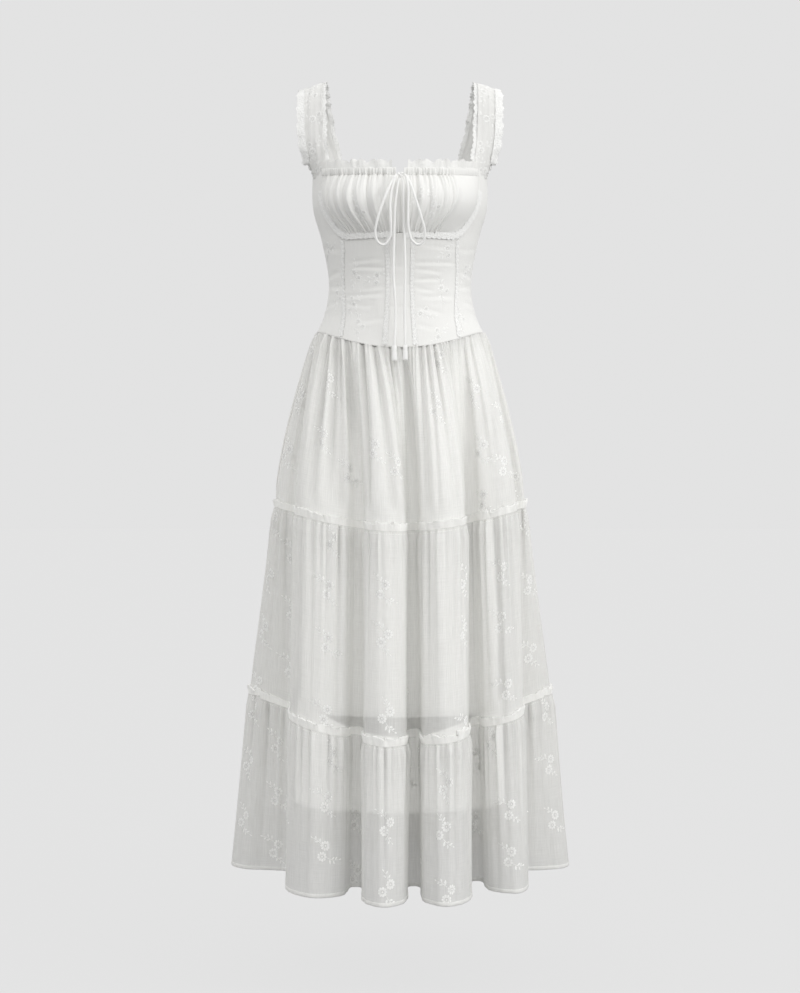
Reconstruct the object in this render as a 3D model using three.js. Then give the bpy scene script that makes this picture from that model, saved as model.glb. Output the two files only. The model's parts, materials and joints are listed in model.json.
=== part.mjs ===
// A tiered maxi dress in sheer white cotton, in the open, empty shape it has when it is worn.
// Millimetres, +Z up, the front faces -Y. The origin is midway between the two shoulder straps,
// at the height where they rest on the shoulders.

import * as THREE from "three";

// Cloth and seams
const WALL = 1.2; // one layer of cloth
const BAND_WALL = 1.6; // straps and casing, two layers
const TRIM_WALL = 1.0; // lace laid on a seam
const SEAM = 0.3; // gap between two pieces at a seam
const HALF_SEAM = SEAM / 2;
const MITRE_LIMIT = 2.2; // how much longer the step through the wall may be at a bend

// Seams of the skirt: height at the side, and how far the seam dips at the centre front
const HIP_SEAM = { z: -394, dip: 40 };
const UPPER_SEAM = { z: -675, dip: 35 };
const LOWER_SEAM = { z: -976, dip: 50 };
const HEM = { z: -1253, dip: 0 };
const DIP_POWER = 2.5;

// Levels of the bodice at the centre front
const UNDERBUST_Z = -249;
const CASING_BOTTOM_Z = -160;
const CASING_HEIGHT = 11;
const FRILL_HEIGHT = 12;
const NECK_RISE = 9; // the neckline climbs this much from the centre to the straps
const STRAP_SEAM_Z = -128;
const ARMHOLE_DROP = 34;
const ARMHOLE_FRONT = 76; // angle where the top edge starts to drop, behind the front of the strap
const ARMHOLE_BACK = 122; // and where it is up again, at the back of the strap
const BACK_NECK_Z = -127;

// Rings of the bodice, from the neckline to below the hip seam
const BODICE = [
  { z: -120, halfWidth: 138, front: 98, back: 85 },
  { z: -160, halfWidth: 140, front: 104, back: 90 },
  { z: -200, halfWidth: 138.5, front: 106, back: 92 },
  { z: -249, halfWidth: 125, front: 98, back: 88 },
  { z: -317, halfWidth: 113.5, front: 87, back: 82 },
  { z: -368, halfWidth: 121, front: 93, back: 95 },
  { z: -400, halfWidth: 135, front: 101, back: 107 },
  { z: -440, halfWidth: 150, front: 111, back: 118 },
];

// The curved seam between the centre front and the side panel, as an angle round the ring
const PRINCESS = [
  { z: -120, angle: 61 },
  { z: -176, angle: 62 },
  { z: -215, angle: 57 },
  { z: -249, angle: 47 },
  { z: -317, angle: 52 },
  { z: -394, angle: 43 },
  { z: -440, angle: 40 },
];
const PLACKET_ANGLE = 9.5;
const SIDE_ANGLE = 92; // the side seam sits just behind the widest point
const SEAM_ANGLE = 0.1; // half a seam's gap, as an angle round the bodice
const CUP_INNER_ANGLE = 1.2; // the cups stand a little apart at the centre
const CUP_OUTER_GAP = 0.6;
const CUP_BULGE = 19;
const CUP_INNER_EDGE = 0.12; // where the swell starts at the centre front, as a share of its arch
const CUP_FULLNESS = 0.8; // under 1, the swell is full for most of the cup

// Gathers of the bust cups: place across the cup, from the centre to the princess seam, and depth
const LEFT_CUP_GATHERS = [
  { place: 0.12, depth: 3.0 },
  { place: 0.25, depth: 4.2 },
  { place: 0.39, depth: 3.4 },
  { place: 0.51, depth: 4.4 },
  { place: 0.63, depth: 3.2 },
  { place: 0.74, depth: 3.8 },
  { place: 0.85, depth: 2.6 },
];
const RIGHT_CUP_GATHERS = [
  { place: 0.1, depth: 2.8 },
  { place: 0.22, depth: 3.6 },
  { place: 0.34, depth: 4.4 },
  { place: 0.46, depth: 3.2 },
  { place: 0.58, depth: 4.4 },
];
const GATHER_WIDTH = 0.05;
const GATHER_AT_EDGE = 0.3; // share of a gather's depth at the two seams that hold it

// Outer size of the skirt at its seams
const SKIRT_UPPER = { halfWidth: 201, front: 190 };
const SKIRT_LOWER = { halfWidth: 242, front: 238 };
const SKIRT_HEM = { halfWidth: 270, front: 272 };
const VALLEY_SHARE_UPPER = 0.93; // how far the valleys stand in at the upper seam
const VALLEY_SHARE_LOWER = 0.97;
const TIER_FLARE = 1.5; // the top tier swells quickly below the hip, then hangs

// Folds of the skirt at the hem, round from the left side by the front to the back.
// Each row is a crest and the valley after it: out to the right, and forward of the middle.
const FOLDS = [
  { name: "left side", crestX: -273, crestD: -42, valleyX: -189, valleyD: 12 },
  { name: "front left", crestX: -126, crestD: 210, valleyX: -67, valleyD: 135 },
  { name: "front middle", crestX: -22, crestD: 272, valleyX: 21, valleyD: 130 },
  { name: "front right", crestX: 69, crestD: 267, valleyX: 118, valleyD: 92 },
  { name: "right quarter", crestX: 176, crestD: 178, valleyX: 204, valleyD: 12 },
  { name: "right side", crestX: 273, crestD: -38, valleyX: 192, valleyD: -112 },
  { name: "back right", crestX: 164, crestD: -204, valleyX: 118, valleyD: -146 },
  { name: "back middle right", crestX: 82, crestD: -260, valleyX: 42, valleyD: -158 },
  { name: "back middle", crestX: -6, crestD: -272, valleyX: -48, valleyD: -154 },
  { name: "back middle left", crestX: -92, crestD: -256, valleyX: -126, valleyD: -142 },
  { name: "back left", crestX: -170, crestD: -198, valleyX: -194, valleyD: -106 },
];
const FRONT_FOLDS = 5; // intervals between the two side crests, along the front
const SHOULDER_ACROSS = 0.66; // a fold stays full for this share of its half width
const SHOULDER_IN = 0.22; // and has sunk by this share of its depth there
const VALLEY_FLOOR = 14; // width of the bottom of a valley
const FINE_STEPS = 600;

// Columns of each tier for one fold
const TOP_TIER_COLUMNS = 15;
const LOWER_TIER_COLUMNS = 10;

// Gathers at the hip seam and the headings that stand above the two lower seams
const HIP_GATHERS = 55;
const HIP_GATHER_DEPTH = 2.6;
const HEADING_HEIGHT = 14;
const HEADING_DEPTH = 4.4;
const HEADING_FOOT_SHARE = 0.3; // share of the waves' depth at the seam
const HEADING_CLEAR = 0.6;
const HEADING_LEAN = 1;
const UPPER_HEADING_WAVES = 55;
const LOWER_HEADING_WAVES = 44;

// The slip that shows through the skirt, and the underlay of the last tier
const SLIP_COLUMNS = 16; // for each half
const SLIP_SIDE_ANGLE = 90;
const SLIP_CLEAR = 2; // their tops hang this far below the seam that holds them
const SLIP = [
  { z: -396, halfWidth: 124, front: 95, back: 100 },
  { z: -450, halfWidth: 136, front: 98, back: 106 },
  { z: -540, halfWidth: 147, front: 99, back: 110 },
  { z: -690, halfWidth: 155, front: 99, back: 111 },
  { z: -998, halfWidth: 158, front: 101, back: 112 },
];
const UNDERLAY = [
  { z: -976, halfWidth: 164, front: 105, back: 117 },
  { z: -1145, halfWidth: 168, front: 108, back: 119 },
];

// Shoulder straps: the line down the middle of the right strap, and the way its width runs
const STRAP_WIDTH = 30;
const STRAP_ROUTE = [
  { x: 131, y: -42, z: -127, outX: 0.8, outY: 0.6, outZ: 0 },
  { x: 136, y: -39, z: -88, outX: 0.97, outY: 0.2, outZ: -0.1 },
  { x: 138, y: -27, z: -36, outX: 0.96, outY: 0.06, outZ: -0.26 },
  { x: 137, y: 0, z: 0, outX: 0.94, outY: 0, outZ: -0.34 },
  { x: 132, y: 27, z: -34, outX: 0.95, outY: -0.15, outZ: -0.2 },
  { x: 119, y: 46, z: -84, outX: 0.86, outY: -0.5, outZ: 0 },
  { x: 104, y: 56, z: -126, outX: 0.73, outY: -0.68, outZ: 0 },
];
const OUTER_LACE_WIDTH = 11;
const INNER_LACE_WIDTH = 6;
const LACE_WAVE = 2.4;
const LACE_WAVES = 8;

// Drawstring: a bow tied at the neckline, with two loops and two tails
const CORD_DIAMETER = 4;
const CORD_SIDES = 8;
const KNOT = { x: 1, y: -121, z: -163, radius: 4.6 };
const LEFT_LOOP = [
  { x: -5.5, y: -122, z: -163 },
  { x: -13, y: -128, z: -176 },
  { x: -25, y: -135, z: -205 },
  { x: -35, y: -134, z: -236 },
  { x: -38, y: -129, z: -254 },
  { x: -33, y: -125, z: -268 },
  { x: -24, y: -124, z: -271 },
  { x: -15, y: -126, z: -259 },
  { x: -14, y: -131, z: -240 },
  { x: -15, y: -132, z: -210 },
  { x: -12.5, y: -130.5, z: -188 },
  { x: -7.5, y: -126.5, z: -168.5 },
];
const RIGHT_LOOP = [
  { x: 7.5, y: -122, z: -163 },
  { x: 15, y: -128, z: -176 },
  { x: 24, y: -135, z: -203 },
  { x: 33, y: -135, z: -232 },
  { x: 38, y: -130, z: -252 },
  { x: 36, y: -126, z: -266 },
  { x: 28, y: -124, z: -271 },
  { x: 18, y: -125, z: -264 },
  { x: 13, y: -130, z: -246 },
  { x: 12.5, y: -132, z: -212 },
  { x: 13, y: -130.5, z: -188 },
  { x: 10, y: -126.5, z: -168.5 },
];
const LEFT_TAIL = [
  { x: -1.5, y: -124, z: -169.5 },
  { x: -4, y: -125.5, z: -182 },
  { x: -7.5, y: -126, z: -215 },
  { x: -9, y: -124, z: -260 },
  { x: -10, y: -122, z: -315 },
  { x: -7, y: -121, z: -370 },
  { x: -8.5, y: -121, z: -425 },
];
const RIGHT_TAIL = [
  { x: 3.5, y: -124, z: -169.5 },
  { x: 5, y: -126, z: -182 },
  { x: 5.5, y: -126, z: -215 },
  { x: 7, y: -124, z: -260 },
  { x: 8, y: -122, z: -315 },
  { x: 7, y: -121, z: -370 },
  { x: 8, y: -121, z: -424 },
];
const TIP_LENGTH = 24;
const TIP_WIDTH = 8;
const TIP_THICKNESS = 5;

// Finishes
const CLOTH = { color: 0xf1f1ee, roughness: 0.85, metalness: 0 };
const LINING = { color: 0xf4f2ee, roughness: 0.7, metalness: 0 };
const LACE = { color: 0xf6f6f4, roughness: 0.8, metalness: 0 };
const CORD = { color: 0xf5f5f0, roughness: 0.6, metalness: 0 };

const dress = new THREE.Group();
const TURN = 2 * Math.PI;
const { lerp, degToRad, clamp, smoothstep } = THREE.MathUtils;

function add(name, geometry, finish) {
  const mesh = new THREE.Mesh(geometry, new THREE.MeshStandardMaterial(finish));
  mesh.name = name;
  dress.add(mesh);
}

// A value of a section table at a height, on a smooth curve through its rows.
function section(rows, column, z) {
  const last = rows.length - 1;
  const next = clamp(rows.findIndex((row) => row.z < z), 1, last);
  const i = rows[last].z >= z ? last : next;
  const slope = (k) => {
    const a = rows[Math.max(k - 1, 0)];
    const b = rows[Math.min(k + 1, last)];
    return (b[column] - a[column]) / (b.z - a.z);
  };
  const [p, q] = [rows[i - 1], rows[i]];
  const span = q.z - p.z;
  const t = clamp((z - p.z) / span, 0, 1);
  const [t2, t3] = [t * t, t * t * t];
  return (
    p[column] * (2 * t3 - 3 * t2 + 1) + slope(i - 1) * span * (t3 - 2 * t2 + t) +
    q[column] * (3 * t2 - 2 * t3) + slope(i) * span * (t3 - t2)
  );
}

// A point of a ring table at an angle from the centre front, moved out by a distance.
function ringPoint(rows, angle, z, out = 0) {
  const turn = degToRad(angle);
  const [s, c] = [Math.sin(turn), Math.cos(turn)];
  const width = section(rows, "halfWidth", z);
  const depth = section(rows, c >= 0 ? "front" : "back", z);
  const normal = new THREE.Vector2(s / width, -c / depth).normalize();
  return new THREE.Vector3(width * s + normal.x * out, -depth * c + normal.y * out, z);
}

// How much of a seam's dip is left at a share of the half width.
const dipShare = (share) => Math.pow(Math.max(0, 1 - share * share), DIP_POWER / 2);

// The height of a seam at an angle. It dips only at the front.
function seamZ(seam, angle) {
  const turn = degToRad(angle);
  return seam.z - (Math.cos(turn) > 0 ? seam.dip * dipShare(Math.sin(turn)) : 0);
}

const hipZ = (angle) => seamZ(HIP_SEAM, angle);

// The way out at a point of a level line, long enough that the wall keeps its thickness at a bend.
function levelNormal(before, here, after) {
  const a = new THREE.Vector3().subVectors(here, before).setZ(0).normalize();
  const b = new THREE.Vector3().subVectors(after, here).setZ(0).normalize();
  const sum = a.add(b);
  const mitre = Math.min(MITRE_LIMIT, 2 / Math.max(sum.length(), 1e-6));
  return new THREE.Vector3(sum.y, -sum.x, 0).normalize().multiplyScalar(mitre);
}

// A cloth wall: a grid of outer points, the same grid moved in by the wall, and rims all round.
// u runs to the right seen from outside and v upwards. Level walls move in sideways only.
// A wall that is part of a ring looks beyond its ends, so that it meets the next one squarely.
function wall(columns, rows, point, { thickness = WALL, level = true, ring = false } = {}) {
  const gridPoint = (i, j) => point(i / columns, j / rows, i, j);
  const grid = [];
  for (let j = 0; j <= rows; j++)
    for (let i = 0; i <= columns; i++) grid.push(gridPoint(i, j));
  const at = (i, j) => j * (columns + 1) + i;
  const inner = grid.map((p, k) => {
    const i = k % (columns + 1);
    const j = Math.floor(k / (columns + 1));
    const before = i > 0 ? grid[k - 1] : ring ? gridPoint(-1, j) : null;
    const after = i < columns ? grid[k + 1] : ring ? gridPoint(columns + 1, j) : null;
    if (level) {
      const mirrored = p.clone().multiplyScalar(2).sub(before ?? after);
      return p.clone().addScaledVector(levelNormal(before ?? mirrored, p, after ?? mirrored), -thickness);
    }
    const across = new THREE.Vector3().subVectors(after ?? p, before ?? p);
    const along = grid[at(i, Math.min(j + 1, rows))].clone().sub(grid[at(i, Math.max(j - 1, 0))]);
    return p.clone().addScaledVector(across.cross(along).normalize(), -thickness);
  });
  const half = grid.length;
  const index = [];
  const quad = (a, b, c, d) => index.push(a, b, c, a, c, d);
  for (let j = 0; j < rows; j++)
    for (let i = 0; i < columns; i++) {
      const [a, b, c, d] = [at(i, j), at(i + 1, j), at(i + 1, j + 1), at(i, j + 1)];
      quad(a, b, c, d);
      quad(a + half, d + half, c + half, b + half);
    }
  for (let i = 0; i < columns; i++) {
    quad(at(i, 0), at(i, 0) + half, at(i + 1, 0) + half, at(i + 1, 0));
    quad(at(i + 1, rows), at(i + 1, rows) + half, at(i, rows) + half, at(i, rows));
  }
  for (let j = 0; j < rows; j++) {
    quad(at(0, j + 1), at(0, j + 1) + half, at(0, j) + half, at(0, j));
    quad(at(columns, j), at(columns, j) + half, at(columns, j + 1) + half, at(columns, j + 1));
  }
  const positions = [...grid, ...inner].flatMap((p) => [p.x, p.y, p.z]);
  const geometry = new THREE.BufferGeometry();
  geometry.setAttribute("position", new THREE.Float32BufferAttribute(positions, 3));
  geometry.setIndex(index);
  geometry.computeVertexNormals();
  return geometry;
}

// Left pieces mirror right ones: this gives the signed angle for u on either side.
const sideAngle = (side, low, high, u) => (side > 0 ? lerp(low, high, u) : lerp(-high, -low, u));
const princess = (z) => section(PRINCESS, "angle", z);
const neckRise = (angle) => NECK_RISE * Math.pow(Math.sin(degToRad(angle)), 2);
const SIDES = [
  { word: "left", side: -1, gathers: LEFT_CUP_GATHERS },
  { word: "right", side: 1, gathers: RIGHT_CUP_GATHERS },
];

// Bodice below the bust: two centre fronts with a placket between them
const FRONT_ROWS = 7;

function frontPanel(side) {
  return wall(7, FRONT_ROWS, (u, v) => {
    const share = side > 0 ? u : 1 - u;
    const guess = lerp(PLACKET_ANGLE, princess(UNDERBUST_Z), share);
    const z = lerp(hipZ(guess) + SEAM, UNDERBUST_Z - SEAM, v);
    const edge = princess(z) - SEAM_ANGLE;
    return ringPoint(BODICE, sideAngle(side, PLACKET_ANGLE + SEAM_ANGLE, edge, u), z);
  });
}

function placket() {
  return wall(3, FRONT_ROWS, (u, v) => {
    const angle = lerp(SEAM_ANGLE - PLACKET_ANGLE, PLACKET_ANGLE - SEAM_ANGLE, u);
    return ringPoint(BODICE, angle, lerp(hipZ(angle) + SEAM, UNDERBUST_Z - SEAM, v));
  });
}

// Side panels run from the hip seam to the armhole, which drops towards the side seam.
function sideTop(angle) {
  return STRAP_SEAM_Z - SEAM - ARMHOLE_DROP * smoothstep(angle, ARMHOLE_FRONT, SIDE_ANGLE);
}

const SIDE_UPPER_ROWS = 3; // above the underbust

function sidePanel(side) {
  return wall(6, FRONT_ROWS + SIDE_UPPER_ROWS, (u, v, i, j) => {
    const level = j <= FRONT_ROWS ? j / FRONT_ROWS : 1 + (j - FRONT_ROWS) / SIDE_UPPER_ROWS;
    const share = side > 0 ? u : 1 - u;
    const guess = lerp(princess(UNDERBUST_Z), SIDE_ANGLE, share);
    const z = level <= 1
      ? lerp(hipZ(guess) + SEAM, UNDERBUST_Z, level)
      : lerp(UNDERBUST_Z, sideTop(lerp(princess(STRAP_SEAM_Z), SIDE_ANGLE, share)), level - 1);
    const angle = sideAngle(side, princess(z) + SEAM_ANGLE, SIDE_ANGLE - SEAM_ANGLE, u);
    return ringPoint(BODICE, angle, z);
  });
}

// The back is one plain panel. Its top is level between the straps and drops to the armholes.
function backTop(angle) {
  const low = STRAP_SEAM_Z - SEAM - ARMHOLE_DROP;
  const fromFront = 180 - Math.abs(180 - angle);
  return lerp(low, BACK_NECK_Z - SEAM, smoothstep(fromFront, SIDE_ANGLE, ARMHOLE_BACK));
}

function backPanel() {
  return wall(18, 7, (u, v) => {
    const angle = lerp(SIDE_ANGLE + SEAM_ANGLE, 360 - SIDE_ANGLE - SEAM_ANGLE, u);
    return ringPoint(BODICE, angle, lerp(hipZ(angle) + SEAM, backTop(angle), v));
  });
}

// Bust cups swell out between their four seams, and their gathers run from casing to underbust.
function cupRelief(gathers, place, v) {
  const across = Math.sin(Math.PI * lerp(CUP_INNER_EDGE, 1, place));
  const swell = CUP_BULGE * Math.pow(Math.max(across, 0) * Math.sin(Math.PI * v), CUP_FULLNESS);
  const deep = lerp(GATHER_AT_EDGE, 1, Math.sin(Math.PI * v));
  const ridges = gathers.reduce(
    (sum, fold) => sum + fold.depth * Math.exp(-Math.pow((place - fold.place) / GATHER_WIDTH, 2)), 0);
  return swell + deep * ridges;
}

function cup(side, gathers) {
  return wall(22, 5, (u, v) => {
    const place = side > 0 ? u : 1 - u;
    const guess = lerp(CUP_INNER_ANGLE, princess(CASING_BOTTOM_Z), place);
    const z = lerp(UNDERBUST_Z + SEAM, CASING_BOTTOM_Z - SEAM + neckRise(guess), v);
    const angle = sideAngle(side, CUP_INNER_ANGLE, princess(z) - CUP_OUTER_GAP, u);
    return ringPoint(BODICE, angle, z, cupRelief(gathers, place, v));
  });
}

// Casing of the drawstring, and the frill above it
const CASING_INNER_ANGLE = 2.4;
const CASING_OUTER_ANGLE = 60.4;
const CASING_OUT = 1.5; // the casing and frill stand this far out from the cups' edge
const FRILL_INNER_ANGLE = 5;
const FRILL_LEAN = 2;
const FRILL_FOOT_WAVE = 0.6;
const FRILL_TOP_WAVE = 2;

function casing(side) {
  return wall(10, 1, (u, v) => {
    const angle = sideAngle(side, CASING_INNER_ANGLE, CASING_OUTER_ANGLE, u);
    const z = CASING_BOTTOM_Z + neckRise(angle) + v * CASING_HEIGHT;
    return ringPoint(BODICE, angle, z, CASING_OUT);
  }, { thickness: BAND_WALL });
}

const FRILL_WAVES = 8;
const FRILL_COLUMNS = 3 * FRILL_WAVES;

function neckFrill(side) {
  return wall(FRILL_COLUMNS, 1, (u, v, i) => {
    const angle = sideAngle(side, FRILL_INNER_ANGLE, CASING_OUTER_ANGLE, u);
    const z = CASING_BOTTOM_Z + neckRise(angle) + CASING_HEIGHT + SEAM + v * FRILL_HEIGHT;
    const swing = lerp(FRILL_FOOT_WAVE, FRILL_TOP_WAVE, v) * Math.cos(TURN * FRILL_WAVES * u);
    return ringPoint(BODICE, angle, z, CASING_OUT + v * FRILL_LEAN + swing);
  });
}

// Lace laid over the seams: strips along a route of angle and height, moved out from the panels
const MM_PER_DEGREE = 2; // along the rings of the bodice
const LACE_OUT = 2.3;
const PRINCESS_LACE_WIDTH = 8;
const PLACKET_LACE_WIDTH = 6;
const UNDERBUST_LACE_WIDTH = 11;

function laceStrip(side, route, steps, width) {
  const curve = new THREE.CatmullRomCurve3(
    route.map(({ angle, z }) => new THREE.Vector3(side * angle * MM_PER_DEGREE, z, 0)));
  return wall(1, steps, (u, v) => {
    const middle = curve.getPoint(v);
    const way = curve.getTangent(v);
    const k = (u - 0.5) * width;
    return ringPoint(BODICE, (middle.x + way.y * k) / MM_PER_DEGREE, middle.y - way.x * k, LACE_OUT);
  }, { thickness: TRIM_WALL, level: false });
}

// The underbust lace starts beside the placket, turns the corner of the cup and climbs its outer seam.
const UNDERBUST_LACE = [
  { angle: 8, z: -255.5 },
  { angle: 20, z: -255.5 },
  { angle: 34, z: -255.5 },
  { angle: 46, z: -253 },
  { angle: 54, z: -242 },
  { angle: 60, z: -222 },
  { angle: 64, z: -198 },
];
const LACE_TOP_Z = -262;

// Routes up a seam of the front, from just above the hip seam to the underbust lace
const seamRoute = (rows, angleAt) => Array.from({ length: rows + 1 }, (_, k) => {
  const z = lerp(hipZ(angleAt(HIP_SEAM.z)) + 3, LACE_TOP_Z, k / rows);
  return { angle: angleAt(z), z };
});

for (const { word, side, gathers } of SIDES) {
  add(`front_${word}`, frontPanel(side), CLOTH);
  add(`side_${word}`, sidePanel(side), CLOTH);
  add(`cup_${word}`, cup(side, gathers), CLOTH);
  add(`casing_${word}`, casing(side), CLOTH);
  add(`neck_frill_${word}`, neckFrill(side), CLOTH);
  add(`princess_lace_${word}`, laceStrip(side, seamRoute(6, princess), 9, PRINCESS_LACE_WIDTH), LACE);
  const placketRoute = seamRoute(2, () => PLACKET_ANGLE);
  add(`placket_lace_${word}`, laceStrip(side, placketRoute, 8, PLACKET_LACE_WIDTH), LACE);
  add(`underbust_lace_${word}`, laceStrip(side, UNDERBUST_LACE, 16, UNDERBUST_LACE_WIDTH), LACE);
}
add("placket", placket(), CLOTH);
add("back", backPanel(), CLOTH);

// Folds of the skirt at one level, as a closed curve seen from above
function foldCurve({ halfWidth, front }, valleyShare) {
  const crest = ({ crestX, crestD }) => {
    const spread = crestX / SKIRT_HEM.halfWidth;
    const narrow = 1 - (1 - halfWidth / SKIRT_HEM.halfWidth) * spread * spread;
    return new THREE.Vector3(crestX * narrow, (-crestD * front) / SKIRT_HEM.front, 0);
  };
  const valley = ({ valleyX, valleyD }) =>
    new THREE.Vector3(valleyX * valleyShare, -valleyD * valleyShare, 0);
  const shoulder = (top, bottom) => {
    const sideways = Math.abs(top.y) >= Math.abs(top.x) / 2;
    return new THREE.Vector3(
      lerp(top.x, bottom.x, sideways ? SHOULDER_ACROSS : SHOULDER_IN),
      lerp(top.y, bottom.y, sideways ? SHOULDER_IN : SHOULDER_ACROSS), 0);
  };
  const points = FOLDS.flatMap((fold, k) => {
    const next = FOLDS[(k + 1) % FOLDS.length];
    const [top, low, after] = [crest(fold), valley(fold), crest(next)];
    const [enter, leave] = [shoulder(top, low), shoulder(after, low)];
    const axis = enter.clone().add(leave).multiplyScalar(0.5).sub(low);
    const floor = new THREE.Vector3(axis.y, -axis.x, 0).setLength(VALLEY_FLOOR / 2);
    floor.multiplyScalar(Math.sign(floor.dot(leave.clone().sub(enter))));
    return [top, enter, low.clone().sub(floor), low.clone().add(floor), leave];
  });
  return new THREE.CatmullRomCurve3(points, true, "centripetal");
}

// Points at even steps of length along part of a closed curve
function evenly(curve, from, to, steps) {
  const fine = Array.from({ length: FINE_STEPS + 1 }, (_, k) => curve.getPoint(lerp(from, to, k / FINE_STEPS)));
  const lengths = fine.map(() => 0);
  for (let k = 1; k <= FINE_STEPS; k++) lengths[k] = lengths[k - 1] + fine[k].distanceTo(fine[k - 1]);
  return Array.from({ length: steps }, (_, n) => {
    const wanted = (lengths[FINE_STEPS] * n) / steps;
    const k = Math.max(1, lengths.findIndex((length) => length >= wanted));
    const share = (wanted - lengths[k - 1]) / (lengths[k] - lengths[k - 1]);
    return fine[k - 1].clone().lerp(fine[k], share);
  });
}

// The seam ring of a level, dipping at the front. Even columns suit gathers, and the others keep to the folds.
function seamRing(size, valleyShare, seam, columns, even = false) {
  const curve = foldCurve(size, valleyShare);
  const split = FRONT_FOLDS / FOLDS.length;
  const points = even
    ? [...evenly(curve, 0, split, columns * split), ...evenly(curve, split, 1, columns * (1 - split))]
    : Array.from({ length: columns }, (_, k) => curve.getPoint(k / columns));
  for (const p of points) {
    const share = Math.min(1, Math.abs(p.x) / size.halfWidth);
    p.z = seam.z - (p.y < 0 ? seam.dip * dipShare(share) : 0);
  }
  return points;
}

// The hip seam ring, with even columns along the front and along the back
function hipRing(columns) {
  const split = (FRONT_FOLDS * columns) / FOLDS.length;
  return Array.from({ length: columns }, (_, k) => {
    const angle = k <= split ? lerp(-90, 90, k / split) : lerp(90, 270, (k - split) / (columns - split));
    return ringPoint(BODICE, angle, hipZ(angle));
  });
}

// A point between two rings, part of the way down.
function between(top, bottom, k, down, flare = 1) {
  const out = 1 - Math.pow(1 - down, flare);
  return new THREE.Vector3(
    lerp(top[k].x, bottom[k].x, out), lerp(top[k].y, bottom[k].y, out), lerp(top[k].z, bottom[k].z, down));
}

// The way out of a closed ring of points at one of them
function ringNormal(ring, k) {
  const at = (n) => ring[(n + ring.length) % ring.length];
  return levelNormal(at(k - 1), at(k), at(k + 1));
}

// Front and back panels of a tier, from the crest at one side to the crest at the other
function tierPanels(name, columns, rows, point) {
  const split = (FRONT_FOLDS * columns) / FOLDS.length;
  for (const [word, from, to] of [["front", 0, split], ["back", split, columns]]) {
    add(`${name}_${word}`, wall(to - from, rows, (u, v, i, j) => {
      const p = point((from + i + columns) % columns, v, j);
      if (i === 0 || i === to - from) p.y += word === "front" ? -HALF_SEAM : HALF_SEAM;
      return p;
    }, { ring: true }), CLOTH);
  }
}

const TOP_COLUMNS = FOLDS.length * TOP_TIER_COLUMNS;
const LOWER_COLUMNS = FOLDS.length * LOWER_TIER_COLUMNS;
const upperFine = seamRing(SKIRT_UPPER, VALLEY_SHARE_UPPER, UPPER_SEAM, TOP_COLUMNS, true);
const upper = seamRing(SKIRT_UPPER, VALLEY_SHARE_UPPER, UPPER_SEAM, LOWER_COLUMNS);
const lower = seamRing(SKIRT_LOWER, VALLEY_SHARE_LOWER, LOWER_SEAM, LOWER_COLUMNS);
const hem = seamRing(SKIRT_HEM, 1, HEM, LOWER_COLUMNS);
const hip = hipRing(TOP_COLUMNS);
const wave = (k, columns, waves) => Math.cos((TURN * k * waves) / columns);

// Top tier: gathers at the hip seam that open into the folds
const TOP_TIER_LEVELS = [1, 0.62, 0.24, 0]; // share of the way down, from the bottom row up

function topTierPoint(k, down) {
  const gather = HIP_GATHER_DEPTH * wave(k, TOP_COLUMNS, HIP_GATHERS) * (1 - down) * (1 - down);
  return between(hip, upperFine, k, down, TIER_FLARE).addScaledVector(ringNormal(hip, k), gather);
}

tierPanels("top_tier", TOP_COLUMNS, TOP_TIER_LEVELS.length - 1, (k, v, j) => {
  const p = topTierPoint(k, TOP_TIER_LEVELS[j]);
  p.z += j === 0 ? SEAM : -SEAM;
  return p;
});

// Middle and hem tiers hang straight between their seams.
const middleTierPoint = (k, down) => between(upper, lower, k, down);
const hemTierPoint = (k, down) => between(lower, hem, k, down);

tierPanels("middle_tier", LOWER_COLUMNS, 3, (k, v) => {
  const p = middleTierPoint(k, 1 - v);
  p.z += lerp(SEAM, -SEAM, v);
  return p;
});
tierPanels("hem_tier", LOWER_COLUMNS, 3, (k, v) => {
  const p = hemTierPoint(k, 1 - v);
  p.z -= SEAM * v;
  return p;
});

// Headings: the gathered edge of each lower tier stands up in front of the tier above.
// Its waves are full on the crests and pressed flat in the valleys.
function heading(name, ring, waves, tierPoint, tierHeight) {
  const columns = ring.length;
  const foot = 3 * SEAM;
  const swingAt = (v) => (HEADING_DEPTH / 2) * lerp(HEADING_FOOT_SHARE, 1, v);
  tierPanels(name, columns, 1, (k, v) => {
    const p = tierPoint(k, 1 - (foot + v * HEADING_HEIGHT) / tierHeight);
    const full = Math.pow(Math.cos((Math.PI * k * FOLDS.length) / columns), 2);
    const swing = swingAt(v) * full * (1 + wave(k, columns, waves));
    return p.addScaledVector(ringNormal(ring, k), WALL + HEADING_CLEAR + v * HEADING_LEAN + swing);
  });
}

heading("upper_heading", upperFine, UPPER_HEADING_WAVES, topTierPoint, HIP_SEAM.z - UPPER_SEAM.z);
heading("lower_heading", lower, LOWER_HEADING_WAVES, middleTierPoint, UPPER_SEAM.z - LOWER_SEAM.z);

// Slip and underlay: plain tubes in two panels, inside the folds
function slipPanels(name, rows, levels, topZ) {
  for (const [word, from, to] of [
    ["front", -SLIP_SIDE_ANGLE, SLIP_SIDE_ANGLE],
    ["back", SLIP_SIDE_ANGLE, 360 - SLIP_SIDE_ANGLE],
  ]) {
    add(`${name}_${word}`, wall(SLIP_COLUMNS, levels, (u, v) => {
      const angle = lerp(from + SEAM_ANGLE, to - SEAM_ANGLE, u);
      return ringPoint(rows, angle, lerp(rows[rows.length - 1].z, topZ(angle) - SLIP_CLEAR, v));
    }, { ring: true }), LINING);
  }
}

slipPanels("slip", SLIP, 4, (angle) => seamZ(HIP_SEAM, angle));
slipPanels("underlay", UNDERLAY, 1, (angle) => seamZ(LOWER_SEAM, angle));

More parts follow.
